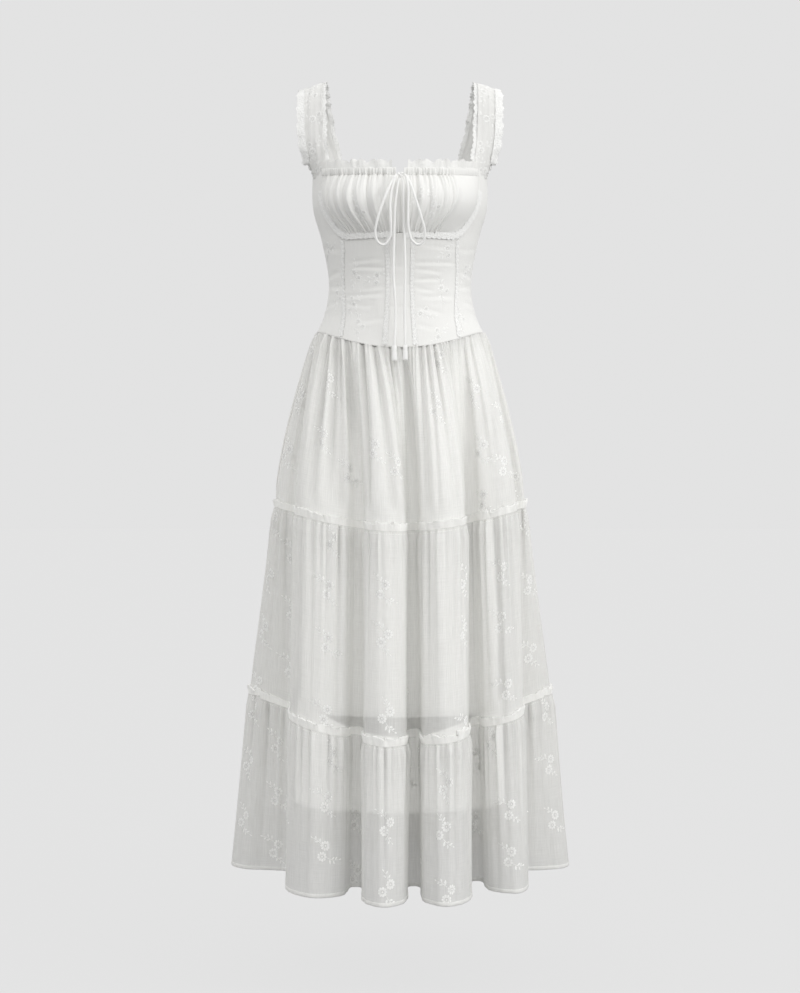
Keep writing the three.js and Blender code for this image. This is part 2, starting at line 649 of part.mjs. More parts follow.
// Shoulder straps with a lace edging on each side
const strapMiddle = new THREE.CatmullRomCurve3(
  STRAP_ROUTE.map(({ x, y, z }) => new THREE.Vector3(x, y, z)), false, "centripetal");
const strapOutward = new THREE.CatmullRomCurve3(
  STRAP_ROUTE.map(({ outX, outY, outZ }) => new THREE.Vector3(outX, outY, outZ)), false, "centripetal");

function strapPoint(side, offset, v, lift = 0) {
  const out = strapOutward.getPoint(v).normalize();
  const face = out.clone().cross(strapMiddle.getTangent(v)).normalize();
  const p = strapMiddle.getPoint(v).addScaledVector(out, offset).addScaledVector(face, lift);
  p.x *= side;
  return p;
}

function strapBand(side, from, to, steps, lift) {
  return wall(2, steps, (u, v, i, j) => {
    const share = side > 0 ? u : 1 - u;
    return strapPoint(side, lerp(from, to, share), v, lift(share, j));
  }, { thickness: from < 0 && to > 0 ? BAND_WALL : WALL, level: false });
}

const STRAP_HALF = STRAP_WIDTH / 2;
const LACE_STEPS = 3 * LACE_WAVES;
for (const { word, side } of SIDES) {
  const ruffle = (share, j) => LACE_WAVE * share * wave(j, LACE_STEPS, LACE_WAVES);
  add(`strap_${word}`, strapBand(side, -STRAP_HALF, STRAP_HALF, 16, () => 0), CLOTH);
  add(`strap_outer_lace_${word}`, strapBand(side, STRAP_HALF + 2 * SEAM, STRAP_HALF + OUTER_LACE_WIDTH,
    LACE_STEPS, ruffle), LACE);
  add(`strap_inner_lace_${word}`, strapBand(side, -STRAP_HALF - INNER_LACE_WIDTH, -STRAP_HALF - 2 * SEAM,
    LACE_STEPS, (share, j) => ruffle(1 - share, j) / 2), LACE);
}

// Drawstring bow
const ROUND = new THREE.Shape(Array.from({ length: CORD_SIDES }, (_, k) => new THREE.Vector2(
  (CORD_DIAMETER / 2) * Math.cos((TURN * k) / CORD_SIDES),
  (CORD_DIAMETER / 2) * Math.sin((TURN * k) / CORD_SIDES))));

function cord(route, steps) {
  const path = new THREE.CatmullRomCurve3(route.map(({ x, y, z }) => new THREE.Vector3(x, y, z)));
  return new THREE.ExtrudeGeometry(ROUND, { steps, bevelEnabled: false, extrudePath: path });
}

// A folded tip at a tail's end, wider than it is thick and a little fuller at its foot
function cordTip(route) {
  const end = route[route.length - 1];
  const tip = new THREE.CylinderGeometry(0.42, 0.5, TIP_LENGTH, CORD_SIDES);
  tip.rotateX(Math.PI / 2);
  tip.scale(TIP_WIDTH, TIP_THICKNESS, 1);
  tip.translate(end.x, end.y, end.z - SEAM - TIP_LENGTH / 2);
  return tip;
}

const knot = new THREE.SphereGeometry(KNOT.radius, 10, 8);
knot.scale(1, 0.8, 0.85);
knot.translate(KNOT.x, KNOT.y, KNOT.z);
add("cord_knot", knot, CORD);
for (const [word, loop, tail] of [["left", LEFT_LOOP, LEFT_TAIL], ["right", RIGHT_LOOP, RIGHT_TAIL]]) {
  add(`cord_loop_${word}`, cord(loop, 22), CORD);
  add(`cord_tail_${word}`, cord(tail, 14), CORD);
  add(`cord_tip_${word}`, cordTip(tail), CORD);
}

export default dress;
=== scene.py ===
# %% [markdown]
# # A tiered maxi dress in sheer embroidered cotton
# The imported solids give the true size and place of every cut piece. This lesson dresses them: each
# piece of cloth is a thin surface worked out with numpy on the form of its solid, with finer gathers,
# creases, lace and stitching than a solid can hold. Lengths are in millimetres until a mesh is made.

import json
import math

import bpy
import numpy as np
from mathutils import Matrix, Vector

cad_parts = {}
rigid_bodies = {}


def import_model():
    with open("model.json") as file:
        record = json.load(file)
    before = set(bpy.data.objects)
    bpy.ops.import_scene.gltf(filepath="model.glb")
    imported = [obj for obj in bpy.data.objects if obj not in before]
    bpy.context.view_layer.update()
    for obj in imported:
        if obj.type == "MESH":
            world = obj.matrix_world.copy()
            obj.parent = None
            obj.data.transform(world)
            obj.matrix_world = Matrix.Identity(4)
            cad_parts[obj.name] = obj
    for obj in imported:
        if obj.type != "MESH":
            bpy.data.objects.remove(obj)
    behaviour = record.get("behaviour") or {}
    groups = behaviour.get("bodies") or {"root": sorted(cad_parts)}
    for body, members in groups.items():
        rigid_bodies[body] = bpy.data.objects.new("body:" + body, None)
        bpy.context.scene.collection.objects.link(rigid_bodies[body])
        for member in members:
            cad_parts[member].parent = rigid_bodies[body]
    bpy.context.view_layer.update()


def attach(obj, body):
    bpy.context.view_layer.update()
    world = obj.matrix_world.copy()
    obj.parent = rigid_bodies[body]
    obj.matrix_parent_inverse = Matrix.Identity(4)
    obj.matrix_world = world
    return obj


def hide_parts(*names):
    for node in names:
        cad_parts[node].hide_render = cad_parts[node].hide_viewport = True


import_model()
MM = 0.001
TURN = 2 * np.pi

# %% [markdown]
# ## The camera
# The picture is level and straight on. A pixel is 1.6 mm at the plane through the middle of the dress,
# and the lens is long, so the camera stands 2.9 m away at the height of the picture's middle row.
# The same numbers turn any point of the dress into a pixel, which places the embroidery later.

# %% The camera
PHOTO_WIDTH, PHOTO_HEIGHT = 800, 993
MM_PER_PIXEL = 1.6
CAMERA_DISTANCE = 2900
CAMERA_HEIGHT = -656.8
SENSOR = 36

camera_data = bpy.data.cameras.new("camera")
camera_data.sensor_width = SENSOR
camera_data.lens = CAMERA_DISTANCE / MM_PER_PIXEL / PHOTO_HEIGHT * SENSOR
camera = bpy.data.objects.new("camera", camera_data)
camera.location = (0, -CAMERA_DISTANCE * MM, CAMERA_HEIGHT * MM)
camera.rotation_euler = (math.pi / 2, 0, 0)
bpy.context.scene.collection.objects.link(camera)
bpy.context.scene.camera = camera


def to_pixels(points):
    """Pixel column and row of points, and their depth: the offset from the axis over the depth, times the
    focal length in pixels."""
    depth = CAMERA_DISTANCE + points[..., 1]
    scale = CAMERA_DISTANCE / MM_PER_PIXEL / depth
    column = PHOTO_WIDTH / 2 + points[..., 0] * scale
    row = PHOTO_HEIGHT / 2 + (CAMERA_HEIGHT - points[..., 2]) * scale
    return column, row, depth


print("lens", round(camera_data.lens, 1), "mm")

# %% [markdown]
# ## Curves and blends
# Two small tools carry most of the shapes. A Catmull-Rom curve runs smoothly through a short list of
# points, and an eased step turns one value softly into another. Both work on whole arrays at once.


# %% Curves and blends
def lerp(start, end, share):
    """The value a share of the way from start to end."""
    return start + (end - start) * share


def ease(value, low, high):
    """0 below low, 1 above high, and a soft S between them."""
    share = np.clip((value - low) / (high - low), 0, 1)
    return share * share * (3 - 2 * share)


def hermite(p, q, p_slope, q_slope, t):
    """The cubic from p to q that leaves and arrives with the given slopes."""
    t2, t3 = t * t, t * t * t
    return (p * (2 * t3 - 3 * t2 + 1) + p_slope * (t3 - 2 * t2 + t)
            + q * (3 * t2 - 2 * t3) + q_slope * (t3 - t2))


def catmull_rom(points, t, closed=False):
    """A curve through the points at shares t of its spans; knots lie the root of a span's length apart."""
    p = np.asarray(points, float)
    if closed:
        p = np.concatenate([p[-1:], p, p[:2]])
    else:
        p = np.concatenate([2 * p[:1] - p[1:2], p, 2 * p[-1:] - p[-2:-1]])
    spans = len(p) - 3
    place = np.asarray(t, float) * spans
    i = np.clip(np.floor(place).astype(int), 0, spans - 1)
    p0, p1, p2, p3 = (p[i + k] for k in range(4))
    d0, d1, d2 = (np.sqrt(np.linalg.norm(b - a, axis=-1, keepdims=True))
                  for a, b in ((p0, p1), (p1, p2), (p2, p3)))
    leave = d1 * ((p1 - p0) / d0 - (p2 - p0) / (d0 + d1) + (p2 - p1) / d1)
    arrive = d1 * ((p2 - p1) / d1 - (p3 - p1) / (d1 + d2) + (p3 - p2) / d2)
    return hermite(p1, p2, leave, arrive, (place - i)[..., None])


def unit(vectors):
    """The vectors, each one long."""
    return vectors / np.maximum(np.linalg.norm(vectors, axis=-1, keepdims=True), 1e-9)


# %% [markdown]
# ## The drawstring
# A thin fabric cord closes the neckline in a bow: two loops, two tails with folded tips, and a knot.
# A Blender curve with a round bevel is the plainest way to make a cord, because its own line is the
# cord's centre line. The points are the same ones as in the solids.

# %% The routes of the cord
CORD_DIAMETER = 4
KNOT = np.array([1, -121, -163])
LOOPS = {
    "left": [(-5.5, -122, -163), (-13, -128, -176), (-25, -135, -205), (-35, -134, -236),
             (-38, -129, -254), (-33, -125, -268), (-24, -124, -271), (-15, -126, -259),
             (-14, -131, -240), (-15, -132, -210), (-12.5, -130.5, -188), (-7.5, -126.5, -168.5)],
    "right": [(7.5, -122, -163), (15, -128, -176), (24, -135, -203), (33, -135, -232),
              (38, -130, -252), (36, -126, -266), (28, -124, -271), (18, -125, -264),
              (13, -130, -246), (12.5, -132, -212), (13, -130.5, -188), (10, -126.5, -168.5)],
}
TAILS = {
    "left": [(-1.5, -124, -169.5), (-4, -125.5, -182), (-7.5, -126, -215), (-9, -124, -260),
             (-10, -122, -315), (-7, -121, -370), (-8.5, -121, -425)],
    "right": [(3.5, -124, -169.5), (5, -126, -182), (5.5, -126, -215), (7, -124, -260),
              (8, -122, -315), (7, -121, -370), (8, -121, -424)],
}
CORD_STEPS, CORD_ROUNDNESS = 5, 3  # points for each span of a route, and the bevel's resolution


def cord_curve(name, route):
    """A round cord on a smooth curve through the route, and its length in metres."""
    shares = np.linspace(0, 1, CORD_STEPS * (len(route) - 1) + 1)
    line = catmull_rom(route, shares) * MM
    data = bpy.data.curves.new(name, "CURVE")
    data.dimensions = "3D"
    data.bevel_depth = CORD_DIAMETER / 2 * MM
    data.bevel_resolution = CORD_ROUNDNESS
    data.use_fill_caps = True
    spline = data.splines.new("POLY")
    spline.points.add(len(line) - 1)
    spline.points.foreach_set("co", np.c_[line, np.ones(len(line))].ravel())
    piece = bpy.data.objects.new(name, data)
    bpy.context.scene.collection.objects.link(piece)
    return piece, float(np.linalg.norm(np.diff(line, axis=0), axis=1).sum())


CORDS = {}
for kind, routes in (("loop", LOOPS), ("tail", TAILS)):
    for word, route in routes.items():
        piece, length = cord_curve(f"drawstring_{kind}_{word}", route)
        CORDS[kind, word] = piece
        piece["length"] = length
        print(piece.name, round(length, 3), "m")

# %% [markdown]
# ## From a grid of points to a piece
# Every cloth surface is a grid: rows run down the piece and columns run to the right, seen from
# outside. The mesh is filled from whole arrays. Its UV map holds real lengths along the cloth, so that
# weave and crinkle in a material keep their size and follow the folds.


# %% Meshes from arrays
def fill_mesh(name, points, faces, uv, finishes, finish_of=None):
    """A mesh object from points in millimetres, faces of equal size, and each point's UV pair in metres."""
    mesh = bpy.data.meshes.new(name)
    count, size = faces.shape
    mesh.vertices.add(len(points))
    mesh.vertices.foreach_set("co", (points * MM).astype(np.float32).ravel())
    mesh.loops.add(count * size)
    mesh.loops.foreach_set("vertex_index", faces.astype(np.int32).ravel())
    mesh.polygons.add(count)
    mesh.polygons.foreach_set("loop_start", np.arange(0, count * size, size, dtype=np.int32))
    mesh.polygons.foreach_set("use_smooth", np.ones(count, bool))
    if finish_of is not None:
        mesh.polygons.foreach_set("material_index", finish_of.astype(np.int32))
    layer = mesh.uv_layers.new(name="cloth")
    layer.data.foreach_set("uv", uv[faces.ravel()].astype(np.float32).ravel())
    mesh.update(calc_edges=True)
    mesh.validate()
    for finish in finishes:
        mesh.materials.append(finish)
    piece = bpy.data.objects.new(name, mesh)
    bpy.context.scene.collection.objects.link(piece)
    return piece


def grid_faces(rows, columns):
    """Quads of a grid, each turned to face outwards."""
    corner = np.arange(rows * columns).reshape(rows, columns)
    quads = np.stack([corner[:-1, :-1], corner[1:, :-1], corner[1:, 1:], corner[:-1, 1:]], -1)
    return quads.reshape(-1, 4)


def grid_triangles(rows, columns):
    """The quads of a grid, each cut in two."""
    quads = grid_faces(rows, columns)
    return np.concatenate([quads[:, [0, 1, 2]], quads[:, [0, 2, 3]]])


# %% Measures of a grid
def lengths_along(grid, axis):
    """Distance run along one axis of a grid, or along a line, from its start."""
    spans = np.linalg.norm(np.diff(grid, axis=axis), axis=-1)
    start = np.zeros_like(np.take(spans, [0], axis))
    return np.concatenate([start, np.cumsum(spans, axis)], axis)


def normals_of(grid):
    """The way out of a surface: its step down crossed with its step to the right."""
    down, right = np.gradient(grid, axis=0), np.gradient(grid, axis=1)
    return unit(np.cross(down, right))


def raised(grid, relief):
    """A grid moved out along its normals by a relief in millimetres."""
    return grid + normals_of(grid) * relief[..., None]


# %% Pieces of cloth
GRIDS = {}


def cloth(name, grid, finish, wall=0, inside=None, rolled=None):
    """A piece of cloth on a grid. A wall above 0 gives it thickness inwards, with its own finish inside.
    A rolled edge is a number of rows at the top and their finish."""
    across, down = lengths_along(grid, 1).mean(0)[None], lengths_along(grid, 0).mean(1)[:, None]
    uv = np.stack(np.broadcast_arrays(across, -down), -1).reshape(-1, 2) * MM
    finishes = [finish, inside] if inside else [finish]
    finish_of = None
    if rolled:
        finishes.append(rolled[1])
        finish_of = np.repeat(np.arange(grid.shape[0] - 1) < rolled[0], grid.shape[1] - 1)
    piece = fill_mesh(name, grid.reshape(-1, 3), grid_faces(*grid.shape[:2]), uv, finishes, finish_of)
    if wall:
        solid = piece.modifiers.new("wall", "SOLIDIFY")
        solid.thickness = wall * MM
        solid.offset = -1
        solid.material_offset = len(finishes) - 1
    GRIDS[name] = grid
    return piece


def dress_piece(piece, slot, *nodes):
    """Ties a piece to the dress and hides the solids that it stands for; the slot is not used."""
    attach(piece, "root")
    if nodes:
        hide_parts(*nodes)
    return piece


def steps(count):
    """Shares from 0 to 1."""
    return np.linspace(0, 1, count + 1)


def spread(columns, rows):
    """Shares across and down a grid of so many columns and rows."""
    return steps(columns)[None], steps(rows)[:, None]


print("grid tools ready")

# %% [markdown]
# ## Node groups for cloth
# Three effects serve several finishes, so each is a node group. The weave is two sets of waves that
# cross. The slub is the uneven thickness of hand-spun threads, drawn out along and across the cloth.
# The crinkle is the fine upright pleating that thin washed cotton keeps.


# %% Node group tools
def node_group(name, inputs, outputs):
    """A shader node group with named sockets."""
    tree = bpy.data.node_groups.new(name, "ShaderNodeTree")
    for label, kind in inputs:
        tree.interface.new_socket(label, in_out="INPUT", socket_type=kind)
    for label, kind in outputs:
        tree.interface.new_socket(label, in_out="OUTPUT", socket_type=kind)
    return tree, tree.nodes.new("NodeGroupInput"), tree.nodes.new("NodeGroupOutput")


def feed(node, inputs):
    """Gives each named input of a node its value: a socket is linked, a plain number or colour is set."""
    for label, value in inputs.items():
        if isinstance(value, bpy.types.NodeSocket):
            node.id_data.links.new(value, node.inputs[label])
        else:
            node.inputs[label].default_value = value


def add_node(tree, kind, inputs, **settings):
    """A new shader node with its settings and inputs."""
    node = tree.nodes.new("ShaderNode" + kind)
    for name, value in settings.items():
        setattr(node, name, value)
    feed(node, inputs)
    return node


# %% Sums and noise in nodes
def compute(tree, operation, first, second=0):
    """A Math node on sockets or plain numbers; returns its result."""
    return add_node(tree, "Math", {0: first, 1: second}, operation=operation).outputs[0]


def weighed(tree, *pairs):
    """The sum of some sockets, each times its own number."""
    parts = [compute(tree, "MULTIPLY", socket, weight) for socket, weight in pairs]
    total = parts[0]
    for part in parts[1:]:
        total = compute(tree, "ADD", total, part)
    return total


def ranged(tree, value, limits, ends):
    """A value that runs between two limits, brought between two ends and held there."""
    numbers = dict(zip(("From Min", "From Max", "To Min", "To Max"), (*limits, *ends)))
    return add_node(tree, "MapRange", {"Value": value, **numbers}).outputs[0]


def streaks(tree, vector, across, along, detail=2.0):
    """Noise drawn out into streaks: so many to the metre across the cloth and along it."""
    drawn = add_node(tree, "Mapping", {"Vector": vector, "Scale": (across, along, 1)}).outputs["Vector"]
    return add_node(tree, "TexNoise", {"Vector": drawn, "Scale": 1, "Detail": detail}).outputs["Fac"]


FLOAT, VECTOR = "NodeSocketFloat", "NodeSocketVector"


# %% Weave, slub and crinkle groups
SLUB_STREAKS = 1300, 30  # streaks to the metre, across the threads and along them
WARP_SHARE = 0.65
BROAD_CRINKLE, FINE_CRINKLE = (70, 5), (190, 11)  # pleats to the metre, across and along
BROAD_HEIGHT = 2.0  # of the broad pleats, to 1 of the fine ones


def weave_group():
    """Height of a plain weave: the product of waves along and across, one thread to the pitch."""
    sockets = [("Vector", VECTOR), ("Pitch", FLOAT)]
    tree, enter, leave = node_group("plain_weave", sockets, [("Height", FLOAT)])
    parts = add_node(tree, "SeparateXYZ", {0: enter.outputs["Vector"]})
    turns = compute(tree, "DIVIDE", TURN / 2, enter.outputs["Pitch"])
    waves = [compute(tree, "SINE", compute(tree, "MULTIPLY", parts.outputs[k], turns)) for k in range(2)]
    tree.links.new(compute(tree, "MULTIPLY", *waves), leave.inputs["Height"])
    return tree


def slub_group():
    """Thickness of the threads, from 0 to 1: fine streaks of warp and weft, added."""
    tree, enter, leave = node_group("thread_slub", [("Vector", VECTOR)], [("Thickness", FLOAT)])
    warp = streaks(tree, enter.outputs["Vector"], *SLUB_STREAKS)
    weft = streaks(tree, enter.outputs["Vector"], *SLUB_STREAKS[::-1])
    tree.links.new(weighed(tree, (warp, WARP_SHARE), (weft, 1 - WARP_SHARE)), leave.inputs["Thickness"])
    return tree


def crinkle_group():
    """Height of upright crinkles: two widths of long streaks, added."""
    tree, enter, leave = node_group("upright_crinkle", [("Vector", VECTOR)], [("Height", FLOAT)])
    broad = streaks(tree, enter.outputs["Vector"], *BROAD_CRINKLE, detail=1.0)
    fine = streaks(tree, enter.outputs["Vector"], *FINE_CRINKLE, detail=1.0)
    tree.links.new(weighed(tree, (broad, BROAD_HEIGHT), (fine, 1)), leave.inputs["Height"])
    return tree


WEAVE, SLUB, CRINKLE = weave_group(), slub_group(), crinkle_group()
print("groups:", WEAVE.name, SLUB.name, CRINKLE.name)

# %% [markdown]
# ## Finishes
# The skirt is sheer: its alpha follows the thread slub, so thick threads hide more. The bodice is the
# same cotton over a lining, so it is opaque. The slip is a smooth lining. Lace ground is a fine net with
# small round holes. Embroidery, lace threads and the cord are brighter, with the ribs of satin stitch.


# %% Finish tools
WHITE = (0.875, 0.872, 0.85)
SHADE = (0.82, 0.815, 0.785)
BRIGHT = (0.93, 0.93, 0.915)
SPECULAR = 0.25
COLOUR_INPUTS, COLOUR_OUTPUT = (0, 6, 7), 2  # the sockets of a Mix node that mixes colours


def finish_base(name, color, roughness, sheen):
    """A material with a Principled shader, its node tree and the cloth's UV vector."""
    finish = bpy.data.materials.new(name)
    finish.use_nodes = True
    tree = finish.node_tree
    shader = tree.nodes["Principled BSDF"]
    feed(shader, {"Base Color": (*color, 1), "Roughness": roughness, "Sheen Weight": sheen,
                  "Specular IOR Level": SPECULAR})
    return finish, tree, shader, add_node(tree, "TexCoord", {}).outputs["UV"]


def use_group(tree, group, **values):
    """The result of a group placed in a material."""
    return add_node(tree, "Group", values, node_tree=group).outputs[0]


def bump(tree, shader, height, distance):
    """Feeds a height, in units of the distance in millimetres, to the shader's normal."""
    node = add_node(tree, "Bump", {"Distance": distance * MM, "Height": height})
    feed(shader, {"Normal": node.outputs["Normal"]})


# %% Colour and light tools
def grey(value):
    """A grey colour."""
    return value, value, value, 1


def colour_mix(tree, share, low, high, blend="MIX"):
    """A colour that runs from low to high with a share; all three are sockets or plain values."""
    inputs = dict(zip(COLOUR_INPUTS, (share, low, high)))
    return add_node(tree, "Mix", inputs, data_type="RGBA", blend_type=blend).outputs[COLOUR_OUTPUT]


def tinted(tree, shader, value, low, high):
    """Base colour that runs between two colours with a value."""
    feed(shader, {"Base Color": colour_mix(tree, value, (*low, 1), (*high, 1))})


def lets_through(tree, shader, share):
    """Mixes in a share of light that passes through thin cloth and spreads on its other side."""
    glow = add_node(tree, "BsdfTranslucent", {"Color": (*BRIGHT, 1)})
    mix = add_node(tree, "MixShader", {0: share, 1: shader.outputs[0], 2: glow.outputs[0]})
    feed(tree.nodes["Material Output"], {"Surface": mix.outputs[0]})


def paint_glow(finish, strength):
    """A faint even painted glow: emission that stands for the light that the cloth around a face scatters
    onto it.
    """
    shader = finish.node_tree.nodes["Principled BSDF"]
    feed(shader, {"Emission Color": (*BRIGHT, 1), "Emission Strength": strength})


# %% Cotton
WEAVE_PITCH = 0.0006  # metres
WEAVE_HEIGHT, SLUB_HEIGHT = 0.03, 0.12  # millimetres
WASHED, SMOOTH = (0.9, 0.12), (0.6, 0.2)  # roughness and sheen
SLUB_LIMITS = 0.3, 0.7545  # thickness of the threads where the cover is least and most


def cotton(name, crinkle, cover=None, glow=0, tone=1.0):
    """Washed cotton. Crinkle is its height in millimetres, cover the least and most alpha if it is sheer,
    and glow the share of light that it lets through."""
    finish, tree, shader, uv = finish_base(name, WHITE, *WASHED)
    slub = use_group(tree, SLUB, Vector=uv)
    tinted(tree, shader, slub, [tone * c for c in SHADE], [tone * c for c in BRIGHT])
    weave = use_group(tree, WEAVE, Vector=uv, Pitch=WEAVE_PITCH)
    pleats = use_group(tree, CRINKLE, Vector=uv)
    bump(tree, shader, weighed(tree, (pleats, crinkle), (weave, WEAVE_HEIGHT), (slub, SLUB_HEIGHT)), 1.0)
    if cover:
        feed(shader, {"Alpha": ranged(tree, slub, SLUB_LIMITS, cover)})
    if glow:
        lets_through(tree, shader, glow)
    return finish


SHEER = cotton("sheer_cotton", 0.4, (0.64, 0.82), 0.08, 1.0)
# the heading is a brighter copy of the cotton, painted light, and it gets a painted glow below as well
HEADING = cotton("heading_cotton", 0.3, (0.8, 0.95), 0.17, 1.08)
FRILL = cotton("frill_cotton", 0.2, (0.85, 0.97), 0.15, 1.06)
LINED = cotton("lined_cotton", 0.08, tone=0.95)
HEM_CLOTH = cotton("hem_cotton", 0.1, (0.86, 0.96), 0.1, 1.0)
# inner faces in a darker copy of the cotton: painted shade
SHADED_INSIDE = cotton("painted_shade_inside", 0.08, tone=0.88)
# a darker copy of the cotton for the eyelets: painted shade in the holes of the flowers
PAINTED_EYELET_SHADE = cotton("painted_eyelet_shade", 0.05, tone=0.82)
# the straps in a darker copy of the cotton: painted shade
STRAP_CLOTH = cotton("strap_cotton", 0.4, tone=0.89)

# %% Painted glow, painted shade and lining
# strengths of the painted glow of the heading and the lining: emission, though neither is a lamp
HEADING_GLOW, LINING_GLOW = 0.11, 0.27
paint_glow(HEADING, HEADING_GLOW)
# painted shade: how dark the base colour of the sheer cloth grows deep in a valley between folds
PAINTED_VALLEY_SHADE = 0.7


def paint_valley_shade(finish):
    """Paints shade into the colour by the piece's own valley attribute: darker where folds of cloth shade
    each other.
    """
    tree = finish.node_tree
    colour = tree.nodes["Principled BSDF"].inputs["Base Color"]
    valley = add_node(tree, "Attribute", {}, attribute_name="valley").outputs["Fac"]
    plain = colour.links[0].from_socket
    tree.links.new(colour_mix(tree, valley, plain, grey(PAINTED_VALLEY_SHADE), "MULTIPLY"), colour)


paint_valley_shade(SHEER)


def lining():
    """The outer face of a smooth plain-woven lining. Its faint painted glow stands for the light that the
    sheer skirt scatters onto it, so that its edges show through the skirt."""
    finish, tree, shader, uv = finish_base("slip_lining", BRIGHT, *SMOOTH)
    slub = use_group(tree, SLUB, Vector=uv)
    tinted(tree, shader, slub, WHITE, BRIGHT)
    bump(tree, shader, use_group(tree, WEAVE, Vector=uv, Pitch=WEAVE_PITCH / 2), WEAVE_HEIGHT)
    # painted light: the lining glows so that its edges show through the skirt
    paint_glow(finish, LINING_GLOW)
    return finish


LINING = lining()


# %% Thread, net and cord
THREAD_WHITE, CORD_WHITE = (0.95, 0.95, 0.935), (0.95, 0.95, 0.94)
STITCH_PITCH, STITCH_SLANT = 0.0007, 0.35
RIB_HEIGHT, NET_HEIGHT, CORD_HEIGHT = 0.12, 0.4, 0.05  # millimetres
NET_HOLES, NET_UNEVEN = 620, 0.35  # holes to the metre, and how far they stray
HOLE_LIMITS, NET_COVER = (0.16, 0.3), (0.45, 1.0)  # distance from a hole's middle, and alpha there
CORD_THREADS, CORD_UNEVEN = 520, 0.6


def thread():
    """Satin stitch: fine slanted ribs across the UV's first axis, each a round thread, with painted shade in
    the grooves between them.
    """
    finish, tree, shader, uv = finish_base("embroidery_thread", THREAD_WHITE, 0.55, 0.15)
    parts = add_node(tree, "SeparateXYZ", {0: uv})
    slant = weighed(tree, (parts.outputs[0], 1), (parts.outputs[1], STITCH_SLANT))
    turns = compute(tree, "MULTIPLY", slant, TURN / 2 / STITCH_PITCH)
    rib = compute(tree, "ABSOLUTE", compute(tree, "SINE", turns))
    # painted shade: the colour darkens in the grooves between the ribs
    tinted(tree, shader, rib, WHITE, THREAD_WHITE)
    bump(tree, shader, rib, RIB_HEIGHT)
    return finish


def net():
    """Lace ground: a thread net whose round holes come from the distance to scattered points."""
    finish, tree, shader, uv = finish_base("lace_net", BRIGHT, 0.8, 0.1)
    holes = {"Vector": uv, "Scale": NET_HOLES, "Randomness": NET_UNEVEN}
    apart = add_node(tree, "TexVoronoi", holes, voronoi_dimensions="2D").outputs["Distance"]
    feed(shader, {"Alpha": ranged(tree, apart, HOLE_LIMITS, NET_COVER)})
    bump(tree, shader, apart, NET_HEIGHT)
    return finish


def cord_finish():
    """A turned cotton tube: fine slanted threads on Object coordinates, since a curve has no UV map, with
    painted shade in the grooves between them.
    """
    finish, tree, shader, _ = finish_base("cord_weave", BRIGHT, *SMOOTH)
    place = add_node(tree, "TexCoord", {}).outputs["Object"]
    threads = {"Vector": place, "Scale": CORD_THREADS, "Distortion": CORD_UNEVEN}
    wave = add_node(tree, "TexWave", threads, bands_direction="DIAGONAL").outputs["Fac"]
    # painted shade: the colour darkens in the grooves between the threads
    tinted(tree, shader, wave, WHITE, CORD_WHITE)
    bump(tree, shader, wave, CORD_HEIGHT)
    return finish


THREAD, NET, CORD = thread(), net(), cord_finish()
print("finishes:", [m.name for m in (SHEER, HEADING, FRILL, LINED, HEM_CLOTH, LINING, THREAD, NET, CORD)])

# %% [markdown]
# ## Knot and tips of the drawstring
# The knot is a short cord wound over itself, so it is a round profile carried along a small closed
# curve. Each tip is the cord's end folded back and stitched: a flat sleeve, a little fuller at its foot.


# %% Knot
TUBE_SIDES, ASIDE = 8, (0.3, 0.9, 0.2)  # the second is a way that the knot's path never takes
KNOT_SIZE, KNOT_CORD, KNOT_LOBE, KNOT_DEPTH = 3.4, 1.7, 1.5, 1.1
KNOT_TURNS = TURN * steps(60)


def tube(path, radius):
    """A round profile carried along a path: two directions across the path turn with its tangent."""
    ahead = unit(np.gradient(path, axis=0))
    across = unit(np.cross(ahead, ASIDE))
    other = np.cross(ahead, across)
    turn = TURN * steps(TUBE_SIDES)[None, :, None]
    return path[:, None] + radius * (np.cos(turn) * across[:, None] + np.sin(turn) * other[:, None])


trefoil = np.stack([np.sin(KNOT_TURNS) + KNOT_LOBE * np.sin(2 * KNOT_TURNS),
                    KNOT_DEPTH * np.sin(3 * KNOT_TURNS),
                    np.cos(KNOT_TURNS) - KNOT_LOBE * np.cos(2 * KNOT_TURNS)], -1)
trefoil *= KNOT_SIZE / (1 + KNOT_LOBE)
knot = cloth("drawstring_knot", tube(KNOT + trefoil, KNOT_CORD), CORD)
dress_piece(knot, "cord", "cord_knot")

# %% Tips
TIP_PROFILE = [  # share of the length, half width
    (0, 2.2), (0.04, 3.3), (0.3, 3.5), (0.36, 3.2), (0.42, 3.55), (0.9, 4), (0.98, 3.7), (1, 0.2)]
TIP_LENGTH, TIP_FLATNESS, TIP_SIDES = 24, 0.62, 16
share, half = np.array(TIP_PROFILE).T
turn = TURN * steps(TIP_SIDES)
ring = np.stack([-np.cos(turn), -TIP_FLATNESS * np.sin(turn), 0 * turn], -1)
for word, route in TAILS.items():
    end = np.array(route[-1])
    sleeve = end + ring[None] * half[:, None, None] - np.array([0, 0, TIP_LENGTH]) * share[:, None, None]
    tip = cloth(f"drawstring_tip_{word}", sleeve, CORD)
    dress_piece(tip, "cord", f"cord_tip_{word}")
    CORDS["tip", word] = tip

# %% The dressed drawstring
for kind in ("loop", "tail"):
    for word in ("left", "right"):
        piece = CORDS[kind, word]
        piece.data.materials.append(CORD)
        dress_piece(piece, "cord", f"cord_{kind}_{word}")
        route = (LOOPS if kind == "loop" else TAILS)[word]
print("drawstring dressed")

# %% [markdown]
# ## The form of the bodice
# A table of rings gives the half width and the depth of the body at a few heights, and a smooth curve
# fills in between. An angle from the centre front then gives a point on a ring, and the seams are
# angles that change with height. The sizes are the driving ones of the solids, apart from the hip seam,
# which was fitted to the picture once more.

# %% Rings of the bodice
BODICE = np.array([  # height, half width, front depth, back depth
    (-120, 138, 98, 85), (-160, 140, 104, 90), (-200, 138.5, 106, 92), (-249, 125, 98, 88),
    (-317, 113.5, 87, 82), (-368, 121, 93, 95), (-400, 135, 101, 107), (-440, 150, 111, 118)], float)


